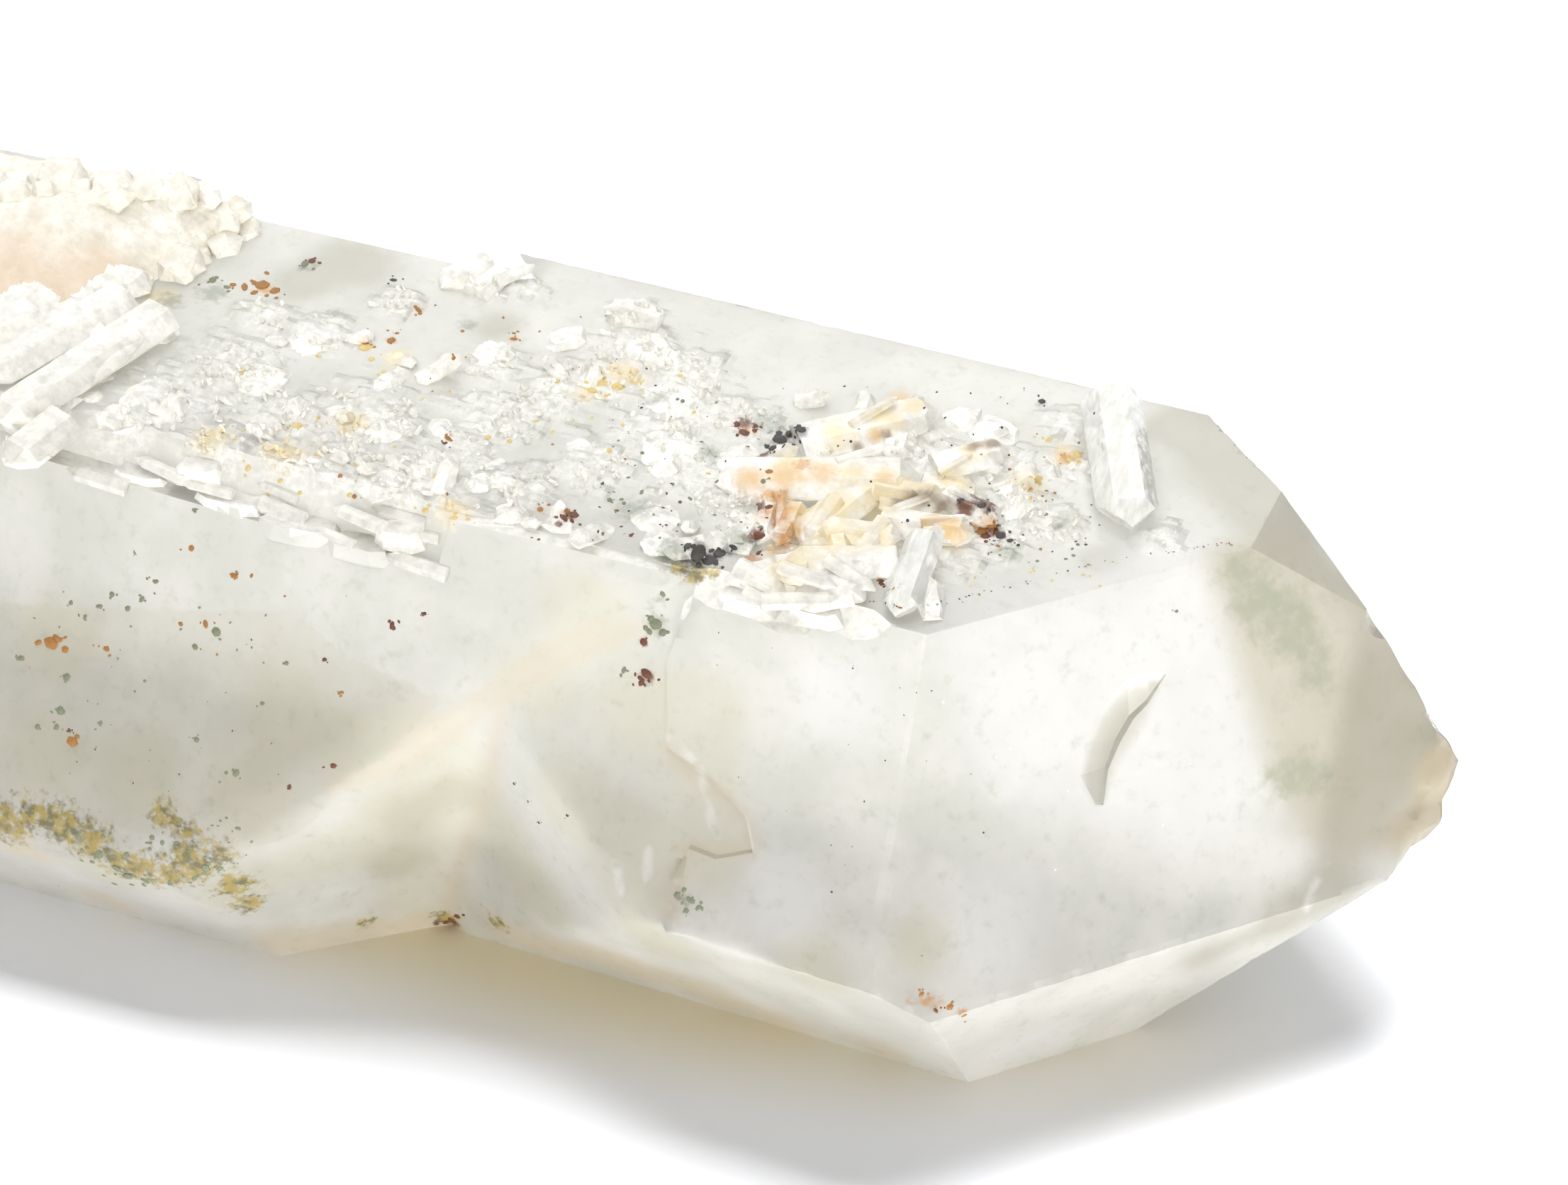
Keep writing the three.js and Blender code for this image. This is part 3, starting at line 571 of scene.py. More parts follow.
def clear_material(colours):
    shader = Shader("clear_quartz")
    fine = shader.noise(0.8, detail=2.0, stretch=(0.6, 2.0, 1.0))
    return shader.finish(
        CLEAR_ABSORPTION,
        IOR=QUARTZ_IOR,
        Transmission_Weight=0.5,
        Base_Color=shader.between(
            1.1, 3.0, 0.6, (0.35, 0.65), colours["streak"], colours["clear"], stretch=(0.6, 2.2, 1.0),
        ),
        Roughness=shader.noise(0.8, detail=1.0) * 0.12 + 0.06,
        Normal=shader.bump(fine, 0.15, 0.02 * MM),
    )


def matrix_material(colours):
    shader = Shader("pale_matrix")
    colour = shader.between(1.6, 5.0, 0.65, (0.3, 0.7), colours["matrix"], colours["pale_matrix"])
    return shader.finish(
        IOR=1.5,
        Base_Color=stained(shader, colour, MATRIX_STAINS),
        Roughness=shader.noise(1.0, detail=1.0) * 0.2 + 0.6,
        Normal=shader.bump(shader.noise(0.35, detail=4.0, roughness=0.7), 0.6, 0.1 * MM),
    )


def speck_material(name):
    shader = Shader(f"{name}_speck")
    colour = Vector(srgb(*SPECK_COLOURS[name])[:3])
    uneven = shader.noise(0.25, detail=2.0)
    return shader.finish(
        IOR=1.5,
        Roughness=0.55,
        Base_Color=shader.mix(uneven, (*(colour * 0.7), 1.0), (*(colour * 1.1), 1.0)),
    )


def floor_material(colours):
    """White, and warmer under the crystal, where the light that passes through it falls."""
    shader = Shader("studio_floor")
    scale = (1 / TINT_HALF[0], 1 / TINT_HALF[1], 0)
    offset = (-TINT_MIDDLE[0] / TINT_HALF[0], -TINT_MIDDLE[1] / TINT_HALF[1], 0)
    across = shader.vector("MULTIPLY_ADD", shader.point, scale, offset)
    # Painted light and shadow: warmer and darker under the crystal.
    warm = shader.smooth(shader.vector("LENGTH", across, output="Value"), 1.25, 0.5)
    return shader.finish(
        Roughness=0.9,
        Specular_IOR_Level=0.1,
        Base_Color=shader.mix(warm, srgb(*colours["floor"]), srgb(*colours["warm_floor"])),
    )


# The crystal

# A face of the mesh lies in a large face if it looks the same way and is this near to it, in millimetres.
SAME_WAY = 0.9995
SAME_PLANE = 0.03


def on_large_face(place, normal):
    """True for a face of the mesh that lies in one of the large crystals' flat faces."""
    for turn, lean, reach in FACES.values():
        facing = face_normal(turn, lean)
        if facing.dot(normal) > SAME_WAY and abs(facing.dot(place) - reach) < SAME_PLANE:
            return True
    return False


# The crystals that lie on the top face: the middles of both ends and half the width, in millimetres.
CLEAR_CRYSTALS = [
    ((19.5, 14.6), (24.9, 2.4), 2.3),
    ((12.9, -3.4), (13.6, -10.6), 1.5),
]
BLADES = [
    ((-1.2, -1.0), (10.6, 2.9), 1.9),
    ((1.4, 3.9), (9.2, 10.2), 1.8),
    ((10.6, 4.8), (15.0, 8.2), 1.6),
    ((8.6, 0.8), (13.4, 1.0), 1.2),
    ((12.4, 1.7), (17.0, 0.6), 1.1),
    ((9.4, -1.9), (15.9, -1.1), 1.2),
    ((7.2, 0.6), (5.0, -6.2), 1.4),
    ((6.2, -4.0), (11.6, -3.2), 1.2),
    ((11.6, -5.2), (4.6, -8.2), 1.4),
    ((5.6, -7.7), (11.2, -9.3), 1.3),
]
LEFT_BLADES = [
    ((-43.8, 1.2), (-48.9, -13.6), 2.4),
    ((-47.4, 2.6), (-52.4, -9.6), 2.2),
    ((-52.0, -1.8), (-58.5, -12.6), 2.4),
    ((-45.0, -11.0), (-47.0, -16.4), 2.4),
]


def over_top_face(place):
    """How far a place lies over the top face, in millimetres."""
    return place.z - top_height(place.x, place.y)


def in_one_of(place, crystals):
    """True for a place over the top face within the plan of one of the crystals that lie on it."""
    for start, end, radius in crystals:
        a = Vector((*start, 0))
        b = Vector((*end, 0))
        flat = Vector((place.x, place.y, 0))
        share = clamped((flat - a).dot(b - a) / (b - a).length_squared)
        off = (flat - a.lerp(b, share)).length
        if off < radius and over_top_face(place) > 0.02:
            return True
    return False


# Where along the crystal the matrix ends, and how far the matrix and the small crystals reach down its sides.
MATRIX_START = -42.4
MATRIX_DEPTH = 1.5
GROWTH_DEPTH = 2.6
SLOTS = ["milky", "growth", "clear", "matrix"]


def slot_of(face):
    place = face.calc_center_median() / MM - CENTRE
    if on_large_face(place, face.normal):
        return SLOTS.index("milky")
    if in_one_of(place, CLEAR_CRYSTALS):
        return SLOTS.index("clear")
    if in_one_of(place, LEFT_BLADES):
        return SLOTS.index("growth")
    if place.x < MATRIX_START and over_top_face(place) > -MATRIX_DEPTH:
        return SLOTS.index("matrix")
    return SLOTS.index("growth" if over_top_face(place) > -GROWTH_DEPTH else "milky")


def new_object(name, data):
    obj = bpy.data.objects.new(name, data)
    bpy.context.scene.collection.objects.link(obj)
    return obj


def new_piece(name, mesh):
    """A finished mesh as a piece of the object, which rides on its only body."""
    obj = new_object(name, mesh)
    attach(obj, "root")
    return obj


def finished_mesh(name, form):
    mesh = bpy.data.meshes.new(name)
    form.to_mesh(mesh)
    form.free()
    return mesh


# The sides of the cells that the faces are cut in, and how deep the wear of the edges goes, in millimetres.
CELL = 0.92
FINE_CELL = CELL / 2
EDGE_WEAR = 0.16
SHARP_EDGE = math.radians(8)
# How far towards the tip its chips start, over how many millimetres they grow, and how deep they are.
TIP_CHIPS_FROM = 41.5
TIP_CHIPS_GROW = 3
TIP_CHIP_DEPTH = 0.9
# How often the ridges are smoothed and how strongly, and how far from the floor and from the top face they
# are left as they are, in millimetres.
RIDGE_ROUNDS = 24
RIDGE_STEP = 0.6
RIDGE_OVER_FLOOR = 0.4
RIDGE_UNDER_TOP = 1.2
# How high the crust is, and its stones and the grains between them over that, in millimetres.
CRUST_HEIGHT = 0.08
STONE_RELIEF = 0.42
GRAIN_RELIEF = 0.22
# The share of that relief which the growth and the matrix take, and how far it is sunk, in millimetres.
GROWTH_SHARE = 0.5
MATRIX_SHARE = 0.55
RELIEF_SUNK = 0.12
# A place this near the top face, in millimetres, lies in it.
TOP_SLACK = 0.03


def planes_across(axis, step):
    """The places of evenly spaced planes across a direction, and their normal."""
    low = CAD_BOX[0][axis]
    count = int((CAD_BOX[1][axis] - low) / (step * MM))
    normal = Vector((0, 0, 0))
    normal[axis] = 1.0
    return [normal * (low + (index - 0.5) * step * MM) for index in range(1, count + 1)], normal


def cut_in_cells(form):
    """Cuts the mesh by planes across each direction, so that its faces are small enough to hold marks."""
    for axis in range(3):
        places, normal = planes_across(axis, CELL)
        for place in places:
            bmesh.ops.bisect_plane(
                form, geom=form.edges[:] + form.faces[:], dist=1e-6, plane_co=place, plane_no=normal,
            )


def cut_top_finer(form):
    """Cuts the top face and what has grown on it by more planes, for the crust."""
    fine = form.faces.layers.int.new("fine")
    for face in form.faces:
        place = face.calc_center_median() / MM - CENTRE
        face[fine] = int(over_top_face(place) > -0.05 and face.normal.z > -0.2)
    for axis in (1, 0, 2):
        places, normal = planes_across(axis, FINE_CELL)
        for place in places:
            parts = set()
            for face in form.faces:
                if face[fine]:
                    sides = [vert.co[axis] > place[axis] for vert in face.verts]
                    if any(sides) and not all(sides):
                        parts.add(face)
                        parts.update(face.edges)
            if parts:
                bmesh.ops.bisect_plane(form, geom=list(parts), dist=1e-6, plane_co=place, plane_no=normal)
    form.faces.layers.int.remove(fine)


def grow_crust(form, crust):
    """Raises a fine crust on the top face and roughens the small stones in it."""
    form.normal_update()
    moves = {}
    for vert in form.verts:
        place = vert.co / MM - CENTRE
        over_top = over_top_face(place)
        if over_top < -TOP_SLACK:
            continue
        ragged = crust[vert.index] + 0.6 * noise.noise(place * 0.8)
        cover = clamped((1.1 - ragged) / 0.5)
        coarse, _ = noise.voronoi(place * 0.75)
        fine, _ = noise.voronoi(place * 1.7 + Vector((7, 3, 1)))
        relief = STONE_RELIEF * (coarse[1] - coarse[0]) + GRAIN_RELIEF * (fine[1] - fine[0])
        if over_top < TOP_SLACK:
            height = CRUST_HEIGHT + relief + 0.22 * max(0.0, noise.noise(place * 0.45))
            moves[vert] = Vector((0, 0, cover * height * MM))
        elif not in_one_of(place, CLEAR_CRYSTALS + BLADES + LEFT_BLADES):
            share = GROWTH_SHARE if place.x > MATRIX_START else MATRIX_SHARE
            uneven = 0.12 * noise.noise(place * 1.3)
            moves[vert] = vert.normal * (((relief - RELIEF_SUNK) * share + uneven) * MM)
        else:
            moves[vert] = vert.normal * (0.05 * noise.noise(place * 2.2) * MM)
    for vert, move in moves.items():
        vert.co += move


def wear_edges(form):
    """Moves the corners on the long edges inwards by uneven amounts."""
    large = {
        face for face in form.faces
        if on_large_face(face.calc_center_median() / MM - CENTRE, face.normal)
    }
    moves = {}
    for edge in form.edges:
        if len(edge.link_faces) != 2 or not all(face in large for face in edge.link_faces):
            continue
        if edge.calc_face_angle() < SHARP_EDGE:
            continue
        inwards = -(edge.link_faces[0].normal + edge.link_faces[1].normal).normalized()
        for vert in edge.verts:
            moves[vert] = inwards
    for vert, inwards in moves.items():
        place = vert.co / MM
        if place.z < 0.5:
            continue
        nick = max(0.0, noise.noise(place * 0.9)) + 0.35 * abs(noise.noise(place * 3.0))
        vert.co += inwards * nick * EDGE_WEAR * MM


def chip_tip(form):
    """Makes the crystal's tip uneven, as it is chipped."""
    for vert in form.verts:
        place = vert.co / MM - CENTRE
        share = clamped((place.x - TIP_CHIPS_FROM) / TIP_CHIPS_GROW)
        if share:
            large = TIP_CHIP_DEPTH * max(0.0, noise.noise(place * 0.33))
            depth = large + 0.16 * abs(noise.noise(place * 0.9))
            vert.co -= vert.normal * depth * share * MM
            for face in vert.link_faces:
                face.smooth = True


def round_ridges(form):
    """Rounds the worn ridges and shades them smooth."""
    form.verts.index_update()
    form.normal_update()
    places = np.array([vert.co[:] for vert in form.verts]) / MM - np.array(CENTRE)
    normals = np.array([vert.normal[:] for vert in form.verts])
    seen = pixels_of(places)
    share = np.zeros(len(places))
    for reach, line in RIDGES:
        share = np.maximum(share, 1 - to_line(seen, line) * PIXEL / reach)
    facing = np.sum(normals * (np.array(CAMERA_PLACE) - places), axis=1) > 0
    low = places[:, 2] < RIDGE_OVER_FLOOR - FLOOR_DEPTH
    share[~facing | low | (places[:, 2] > FACES["top"][2] - RIDGE_UNDER_TOP)] = 0
    pairs = np.array([[vert.index for vert in edge.verts] for edge in form.edges])
    pairs = pairs[(share[pairs] > 0).any(axis=1)]
    count = np.maximum(np.bincount(pairs.ravel(), minlength=len(places)), 1)[:, None]
    step = np.minimum(share, RIDGE_STEP)[:, None]
    for _ in range(RIDGE_ROUNDS):
        total = np.zeros_like(places)
        np.add.at(total, pairs[:, 0], places[pairs[:, 1]])
        np.add.at(total, pairs[:, 1], places[pairs[:, 0]])
        places += np.where(share[:, None] > 0, total / count - places, 0) * step
    for vert in form.verts:
        if share[vert.index] > 0:
            vert.co = (Vector(places[vert.index]) + CENTRE) * MM
            for face in vert.link_faces:
                face.smooth = True


def crystal_mesh():
    """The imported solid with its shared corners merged, its faces cut in small cells and its crust grown."""
    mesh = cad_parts[NODE].data.copy()
    mesh.materials.clear()
    form = bmesh.new()
    form.from_mesh(mesh)
    bmesh.ops.remove_doubles(form, verts=form.verts, dist=1e-6)
    bmesh.ops.dissolve_limit(form, angle_limit=math.radians(0.2), verts=form.verts, edges=form.edges)
    form.normal_update()
    cut_top_finer(form)
    cut_in_cells(form)
    form.normal_update()
    for face in form.faces:
        face.material_index = slot_of(face)
        face.smooth = False
    wear_edges(form)
    chip_tip(form)
    round_ridges(form)
    form.verts.index_update()
    form.to_mesh(mesh)
    grow_crust(form, distances(corners(mesh), MARKS["crust"]))
    form.to_mesh(mesh)
    form.free()
    mark(mesh)
    return mesh


# Marking a mesh

def corners(mesh):
    """A mesh's corners in millimetres from the crystal's centre, one row each."""
    flat = np.empty(len(mesh.vertices) * 3)
    mesh.vertices.foreach_get("co", flat)
    return flat.reshape(-1, 3) / MM - np.array(CENTRE)


def pixels_of(places):
    """Where places show in the photograph, one row of x and y each."""
    right, up, backward = (np.array(axis) for axis in camera_axes())
    away = places - np.array(CAMERA_PLACE)
    depth = -(away @ backward)
    return np.stack([
        PHOTO_SIZE[0] / 2 + FOCAL_PIXELS * (away @ right) / depth,
        PHOTO_SIZE[1] / 2 - FOCAL_PIXELS * (away @ up) / depth,
    ], axis=1)


def to_line(points, line):
    """Distance in pixels from points to a line of several stretches."""
    nearest = np.full(len(points), np.inf)
    for start, end in zip(line, line[1:]):
        a, b = np.array(start, float), np.array(end, float)
        share = np.clip(((points - a) @ (b - a)) / ((b - a) @ (b - a)), 0, 1)
        nearest = np.minimum(nearest, np.linalg.norm(points - a - share[:, None] * (b - a), axis=1))
    return nearest


def within(points, outline):
    """True for the points inside a closed outline."""
    inside = np.zeros(len(points), bool)
    for (ax, ay), (bx, by) in zip(outline, outline[1:] + outline[:1]):
        if ay == by:
            continue
        spans = (points[:, 1] < ay) != (points[:, 1] < by)
        cross = ax + (points[:, 1] - ay) * (bx - ax) / (by - ay)
        inside ^= spans & (points[:, 0] < cross)
    return inside


def store(mesh, name, values):
    layer = mesh.attributes.new(name, "FLOAT", "POINT")
    layer.data.foreach_set("value", np.asarray(values, np.float32))


# The farthest that a mesh holds for a place from a mark or a line.
FAR = 4.0
# Kinds of marks that flow together where they overlap.
SOFT_KINDS = {"glow", "shade", "straw", "cloud", "warm"}
# The zones inside lie near these faces: how far from the centre a place still shows them, in millimetres.
PHANTOM_REACH = 17.2
TIP_ZONE_REACH = 23.6
TIP_ZONE_FADE = 0.7


def away_from(places, row):
    """How far each place is from a mark, as a share of the mark's radius."""
    px, py, radius = row
    return np.linalg.norm(places - np.array(spot(px, py)), axis=1) / radius


def distances(places, rows):
    """How far each place is from the nearest of the marks."""
    return np.minimum(FAR, np.min([away_from(places, row) for row in rows], axis=0))


def softly(places, rows):
    """As distances, but the marks flow together."""
    total = sum(np.exp(-2 * away_from(places, row) ** 2) for row in rows)
    return 1 - np.minimum(total, 1)


def over_rim(seen, outline):
    """Distance in millimetres from an outline in the photograph, negative inside it."""
    rim = to_line(seen, outline + outline[:1]) * PIXEL
    return np.where(within(seen, outline), -rim, rim)


def under_face(places, face, reach):
    """How far places lie below a plane that is parallel to a large face, or 0 over it."""
    return np.maximum(0, reach - places @ np.array(face_normal(*FACES[face][:2])))


def near_lines(places, seen, lines):
    """Distance in millimetres from lines in the photograph, on the crystal's near half."""
    away = np.min([to_line(seen, line) for line in lines], axis=0) * PIXEL
    return np.where(places[:, 1] < 0, away, FAR)


def mark(mesh):
    """Stores at each corner how far it is from the marks of each kind."""
    places = corners(mesh)
    for name, rows in MARKS.items():
        store(mesh, name, (softly if name in SOFT_KINDS else distances)(places, rows))
    seen = pixels_of(places)
    off_front = under_face(places, "front", PHANTOM_REACH)
    off_tip = under_face(places, "front_tip", TIP_ZONE_REACH)
    store(mesh, "phantom", over_rim(seen, PHANTOM) + off_front)
    store(mesh, "tip_zone", over_rim(seen, TIP_ZONE) + TIP_ZONE_FADE * off_tip)
    store(mesh, "cracks", near_lines(places, seen, CRACKS))
    store(mesh, "veils", near_lines(places, seen, VEILS))


# Specks

SPECKS = {
    "orange": [
        (72, 907, 0.62), (102, 1046, 0.5), (330, 812, 0.36), (270, 773, 0.26), (290, 880, 0.34),
        (255, 880, 0.2), (150, 915, 0.28), (480, 977, 0.24), (80, 900, 0.4), (345, 405, 0.5),
        (370, 402, 0.6), (388, 410, 0.45), (590, 437, 0.34), (552, 480, 0.4), (515, 487, 0.4),
        (725, 478, 0.3), (632, 618, 0.3), (762, 718, 0.26), (800, 722, 0.3), (640, 505, 0.2),
        (560, 470, 0.2), (1260, 830, 0.16), (1240, 818, 0.2), (1385, 748, 0.5), (1398, 742, 0.4),
        (725, 470, 0.2), (480, 670, 0.2), (1340, 1420, 0.3), (1300, 1402, 0.25), (1360, 1432, 0.25),
        (1085, 665, 0.3), (500, 700, 0.2),
    ],
    "red": [
        (458, 930, 0.2), (470, 1080, 0.24), (408, 1111, 0.2), (553, 882, 0.34), (597, 865, 0.2),
        (98, 1030, 0.2), (912, 950, 0.5), (905, 962, 0.34), (908, 905, 0.3), (795, 730, 0.4),
        (810, 726, 0.4), (1050, 610, 0.5), (1065, 600, 0.4), (1040, 600, 0.34), (1085, 715, 0.34),
        (1070, 755, 0.4), (1070, 780, 0.24), (1245, 822, 0.3), (1390, 756, 0.4), (1405, 750, 0.3),
        (725, 1105, 0.14), (745, 1130, 0.12), (760, 1160, 0.14), (800, 1150, 0.14), (632, 1300, 0.4),
        (645, 1292, 0.3), (628, 625, 0.2), (440, 368, 0.34), (870, 720, 0.2), (890, 755, 0.2),
        (1320, 1425, 0.24),
    ],
    "green": [
        (305, 891, 0.4), (275, 912, 0.26), (94, 955, 0.34), (85, 1002, 0.36), (333, 1090, 0.34),
        (277, 1043, 0.26), (30, 928, 0.3), (80, 1025, 0.26), (53, 1025, 0.24), (142, 1020, 0.24),
        (404, 935, 0.2), (370, 992, 0.2), (100, 850, 0.2), (140, 855, 0.3), (158, 838, 0.24),
        (180, 858, 0.24), (200, 845, 0.3), (220, 820, 0.24), (275, 720, 0.2), (120, 870, 0.24),
        (190, 780, 0.14), (935, 838, 0.3), (925, 880, 0.5), (918, 872, 0.3), (880, 945, 0.3),
        (935, 892, 0.34), (955, 1262, 0.3), (975, 1270, 0.34), (985, 1280, 0.3), (968, 1284, 0.24),
        (965, 1255, 0.24), (300, 395, 0.4), (320, 405, 0.3), (430, 372, 0.4), (860, 705, 0.24),
        (905, 695, 0.2), (1660, 862, 0.14), (180, 1235, 0.6), (165, 1225, 0.4), (290, 1225, 0.5),
        (205, 1242, 0.4), (275, 1238, 0.3), (140, 1205, 0.4), (110, 1180, 0.3), (240, 1246, 0.3),
        (310, 1225, 0.3),
    ],
    "black": [
        (1000, 790, 0.6), (985, 780, 0.7), (1015, 780, 0.5), (970, 770, 0.4), (1035, 772, 0.3),
        (600, 865, 0.14), (1100, 620, 0.6), (1115, 612, 0.5), (1130, 606, 0.4), (1090, 632, 0.4),
        (555, 395, 0.3), (850, 682, 0.2), (1385, 712, 0.4), (1355, 705, 0.3), (1412, 755, 0.4),
        (1425, 762, 0.3), (1470, 566, 0.3), (2055, 1105, 0.3), (865, 508, 0.14), (905, 575, 0.14),
        (912, 520, 0.12), (940, 695, 0.14),
    ],
    "yellow": [
        (850, 540, 0.5), (870, 545, 0.4), (835, 550, 0.4), (900, 540, 0.34), (515, 490, 0.5),
        (1450, 690, 0.5), (1462, 676, 0.4), (1510, 650, 0.4), (1520, 640, 0.4), (600, 720, 0.3),
        (640, 730, 0.3), (660, 732, 0.2), (450, 640, 0.4), (350, 660, 0.3), (420, 600, 0.4),
        (1480, 620, 0.3), (960, 530, 0.3),
    ],
}

# Strewn specks: kind, corners of a region of the photograph, how many, and their size in millimetres.
STREWN = [
    ("green", (20, 780, 420, 1120), 24, 0.10),
    ("red", (20, 860, 560, 1140), 12, 0.07),
    ("orange", (40, 820, 560, 1150), 10, 0.09),
    ("green", (60, 1150, 360, 1250), 40, 0.18),
    ("yellow", (300, 500, 1000, 700), 46, 0.2),
    ("orange", (480, 420, 900, 720), 18, 0.13),
    ("black", (850, 540, 1560, 780), 60, 0.10),
    ("green", (850, 560, 1080, 760), 46, 0.16),
    ("green", (1390, 700, 1540, 800), 24, 0.12),
    ("orange", (1380, 560, 1530, 780), 14, 0.14),
    ("red", (740, 700, 960, 790), 14, 0.12),
    ("black", (1000, 850, 1400, 1350), 26, 0.07),
    ("white", (1300, 880, 1750, 1250), 20, 0.07),
    ("yellow", (1240, 800, 1560, 830), 16, 0.12),
]

# A line of specks along an edge, as pixels of the photograph.
SPECK_LINE = [(1230, 850), (1290, 858), (1380, 838), (1480, 812), (1580, 790), (1700, 770), (1760, 765)]
# How many specks each stretch of that line has, and how many small ones lie round each named speck.
LINE_SPECKS = 9
STRAY_SPECKS = 3


def flake(form, place, normal, radius, chance, slot):
    """Adds a small flat grain that is sunk in the surface."""
    turned = normal.to_track_quat("Z", "Y").to_matrix().to_4x4()
    spin = Matrix.Rotation(chance.uniform(0, math.tau), 4, "Z")
    size = Matrix.Diagonal((radius * MM, radius * chance.uniform(0.5, 0.95) * MM, radius * 0.3 * MM, 1.0))
    before = len(form.faces)
    bmesh.ops.create_icosphere(
        form, subdivisions=1, radius=1.0, matrix=Matrix.Translation(place) @ turned @ spin @ size,
    )
    form.faces.ensure_lookup_table()
    for face in form.faces[before:]:
        face.material_index = slot


def specks_mesh(dressed):
    """The coloured grains: the named ones, the strewn ones and the line of them."""
    form = bmesh.new()
    chance = random.Random(11)
    kinds = list(SPECK_COLOURS)

    def add(kind, px, py, radius):
        found = dressed.try_hit(px, py)
        if found:
            flake(form, found[0], found[1], radius, chance, kinds.index(kind))

    for kind, rows in SPECKS.items():
        for px, py, radius in rows:
            add(kind, px, py, radius)
            for _ in range(STRAY_SPECKS):
                spread = radius / PIXEL
                add(kind, px + chance.gauss(0, spread), py + chance.gauss(0, spread * 0.7),
                    radius * chance.uniform(0.25, 0.6))
    for kind, (left, top, right, bottom), count, size in STREWN:
        for _ in range(count):
            px, py = chance.uniform(left, right), chance.uniform(top, bottom)
            add(kind, px, py, size * chance.uniform(0.5, 1.4))
    for start, end in zip(SPECK_LINE, SPECK_LINE[1:]):
        for _ in range(LINE_SPECKS):
            share = chance.random()
            px = start[0] + (end[0] - start[0]) * share + chance.gauss(0, 2)
            py = start[1] + (end[1] - start[1]) * share + chance.gauss(0, 2)
            add(chance.choice(["green", "orange", "black"]), px, py, chance.uniform(0.05, 0.11))
    return finished_mesh("specks", form)


# Small crystals

# Where a small crystal's point starts along its length, and how slim it is there.
POINT_START = 0.78
POINT_TAPER = 0.94


def crystal_shape(form, start, way, side, length, width, thickness):
    """Adds a six-sided crystal with a point at its end, along a direction."""
    across = way.cross(side).normalized()
    ring = [
        (math.cos(turn) * side * width / 2, math.sin(turn) * across * thickness / 2)
        for turn in (math.radians(60 * index) for index in range(6))
    ]
    low = [form.verts.new(start + a + b) for a, b in ring]
    high = [form.verts.new(start + way * length * POINT_START + (a + b) * POINT_TAPER) for a, b in ring]
    tip = form.verts.new(start + way * length)
    form.faces.new(list(reversed(low)))
    for index in range(6):
        after = (index + 1) % 6
        form.faces.new((low[index], low[after], high[after], high[index]))
        form.faces.new((high[index], high[after], tip))


# Slim crystals in the cluster: pixels of the blunt end and of the tip, width in millimetres.
SHARDS = [
    (1040, 800, 1112, 846, 1.5), (1075, 850, 1195, 846, 1.2), (1100, 800, 1185, 832, 1.2),
    (1165, 790, 1240, 846, 1.1), (1205, 845, 1130, 862, 1.0), (1050, 830, 1100, 862, 0.9),
    (1180, 705, 1136, 765, 1.4), (1250, 735, 1200, 790, 1.3), (1100, 695, 1100, 765, 1.0),
    (1230, 800, 1190, 850, 0.9), (1235, 690, 1300, 700, 0.9), (1310, 700, 1250, 720, 0.8),
    (1340, 690, 1395, 716, 0.7), (1300, 740, 1380, 748, 0.9), (1180, 650, 1260, 640, 0.8),
    (1200, 600, 1270, 565, 0.9), (1400, 690, 1440, 668, 0.7), (1325, 670, 1375, 640, 0.8),
    (1140, 800, 1070, 808, 0.8), (930, 460, 850, 440, 1.6), (700, 400, 760, 385, 1.0),
    (540, 745, 470, 722, 1.4), (430, 735, 350, 700, 1.3), (620, 760, 560, 742, 1.1),
    (330, 700, 250, 672, 1.2), (632, 812, 540, 776, 1.3), (180, 690, 90, 660, 1.3),
    (260, 676, 190, 650, 1.1), (600, 738, 520, 712, 1.0), (420, 705, 360, 676, 1.0),
    (500, 768, 440, 742, 0.9), (14, 604, 214, 492, 2.4),
]
SHARD_BEVEL = 0.04


def shards_mesh(dressed):
    """The slim crystals, each rolled a little about its length."""
    form = bmesh.new()
    chance = random.Random(5)
    normal = Vector((0, -0.25, 1)).normalized()
    for ax, ay, bx, by, width in SHARDS:
        start, _ = dressed.hit(ax, ay)
        end, _ = dressed.hit(bx, by)
        way = end - start
        way -= normal * way.dot(normal) * 0.6
        length = way.length
        way.normalize()
        side = Matrix.Rotation(chance.uniform(-0.5, 0.5), 3, way) @ way.cross(normal).normalized()
        raised = start + normal * width * chance.uniform(-0.05, 0.15) * MM
        crystal_shape(form, raised, way, side, length, width * MM, width * chance.uniform(0.5, 0.8) * MM)
    bmesh.ops.recalc_face_normals(form, faces=form.faces)
    bmesh.ops.bevel(
        form, geom=form.edges[:], offset=SHARD_BEVEL * MM, segments=1, profile=0.5, affect="EDGES",
        clamp_overlap=True,
    )
    mesh = finished_mesh("shards", form)
    mark(mesh)
    return mesh


def point_shape(form):
    """A pointed crystal that stands 0.3 mm in the crust."""
    upright, sideways = Vector((0, 0, 1)), Vector((1, 0, 0))
    crystal_shape(form, Vector((0, 0, -0.3 * MM)), upright, sideways, 1.3 * MM, 0.62 * MM, 0.5 * MM)


def grain_shape(form):
    """A rough grain of full size, which the scatter makes smaller."""
    bmesh.ops.create_icosphere(form, subdivisions=1, radius=0.5 * MM)
    for vert in form.verts:
        vert.co *= 1 + 0.35 * noise.noise(vert.co / MM * 3)


def template(name, shape):
    """A small object that the scatter copies."""
    form = bmesh.new()
    shape(form)
    bmesh.ops.recalc_face_normals(form, faces=form.faces)
    return new_object(name, finished_mesh(name, form))


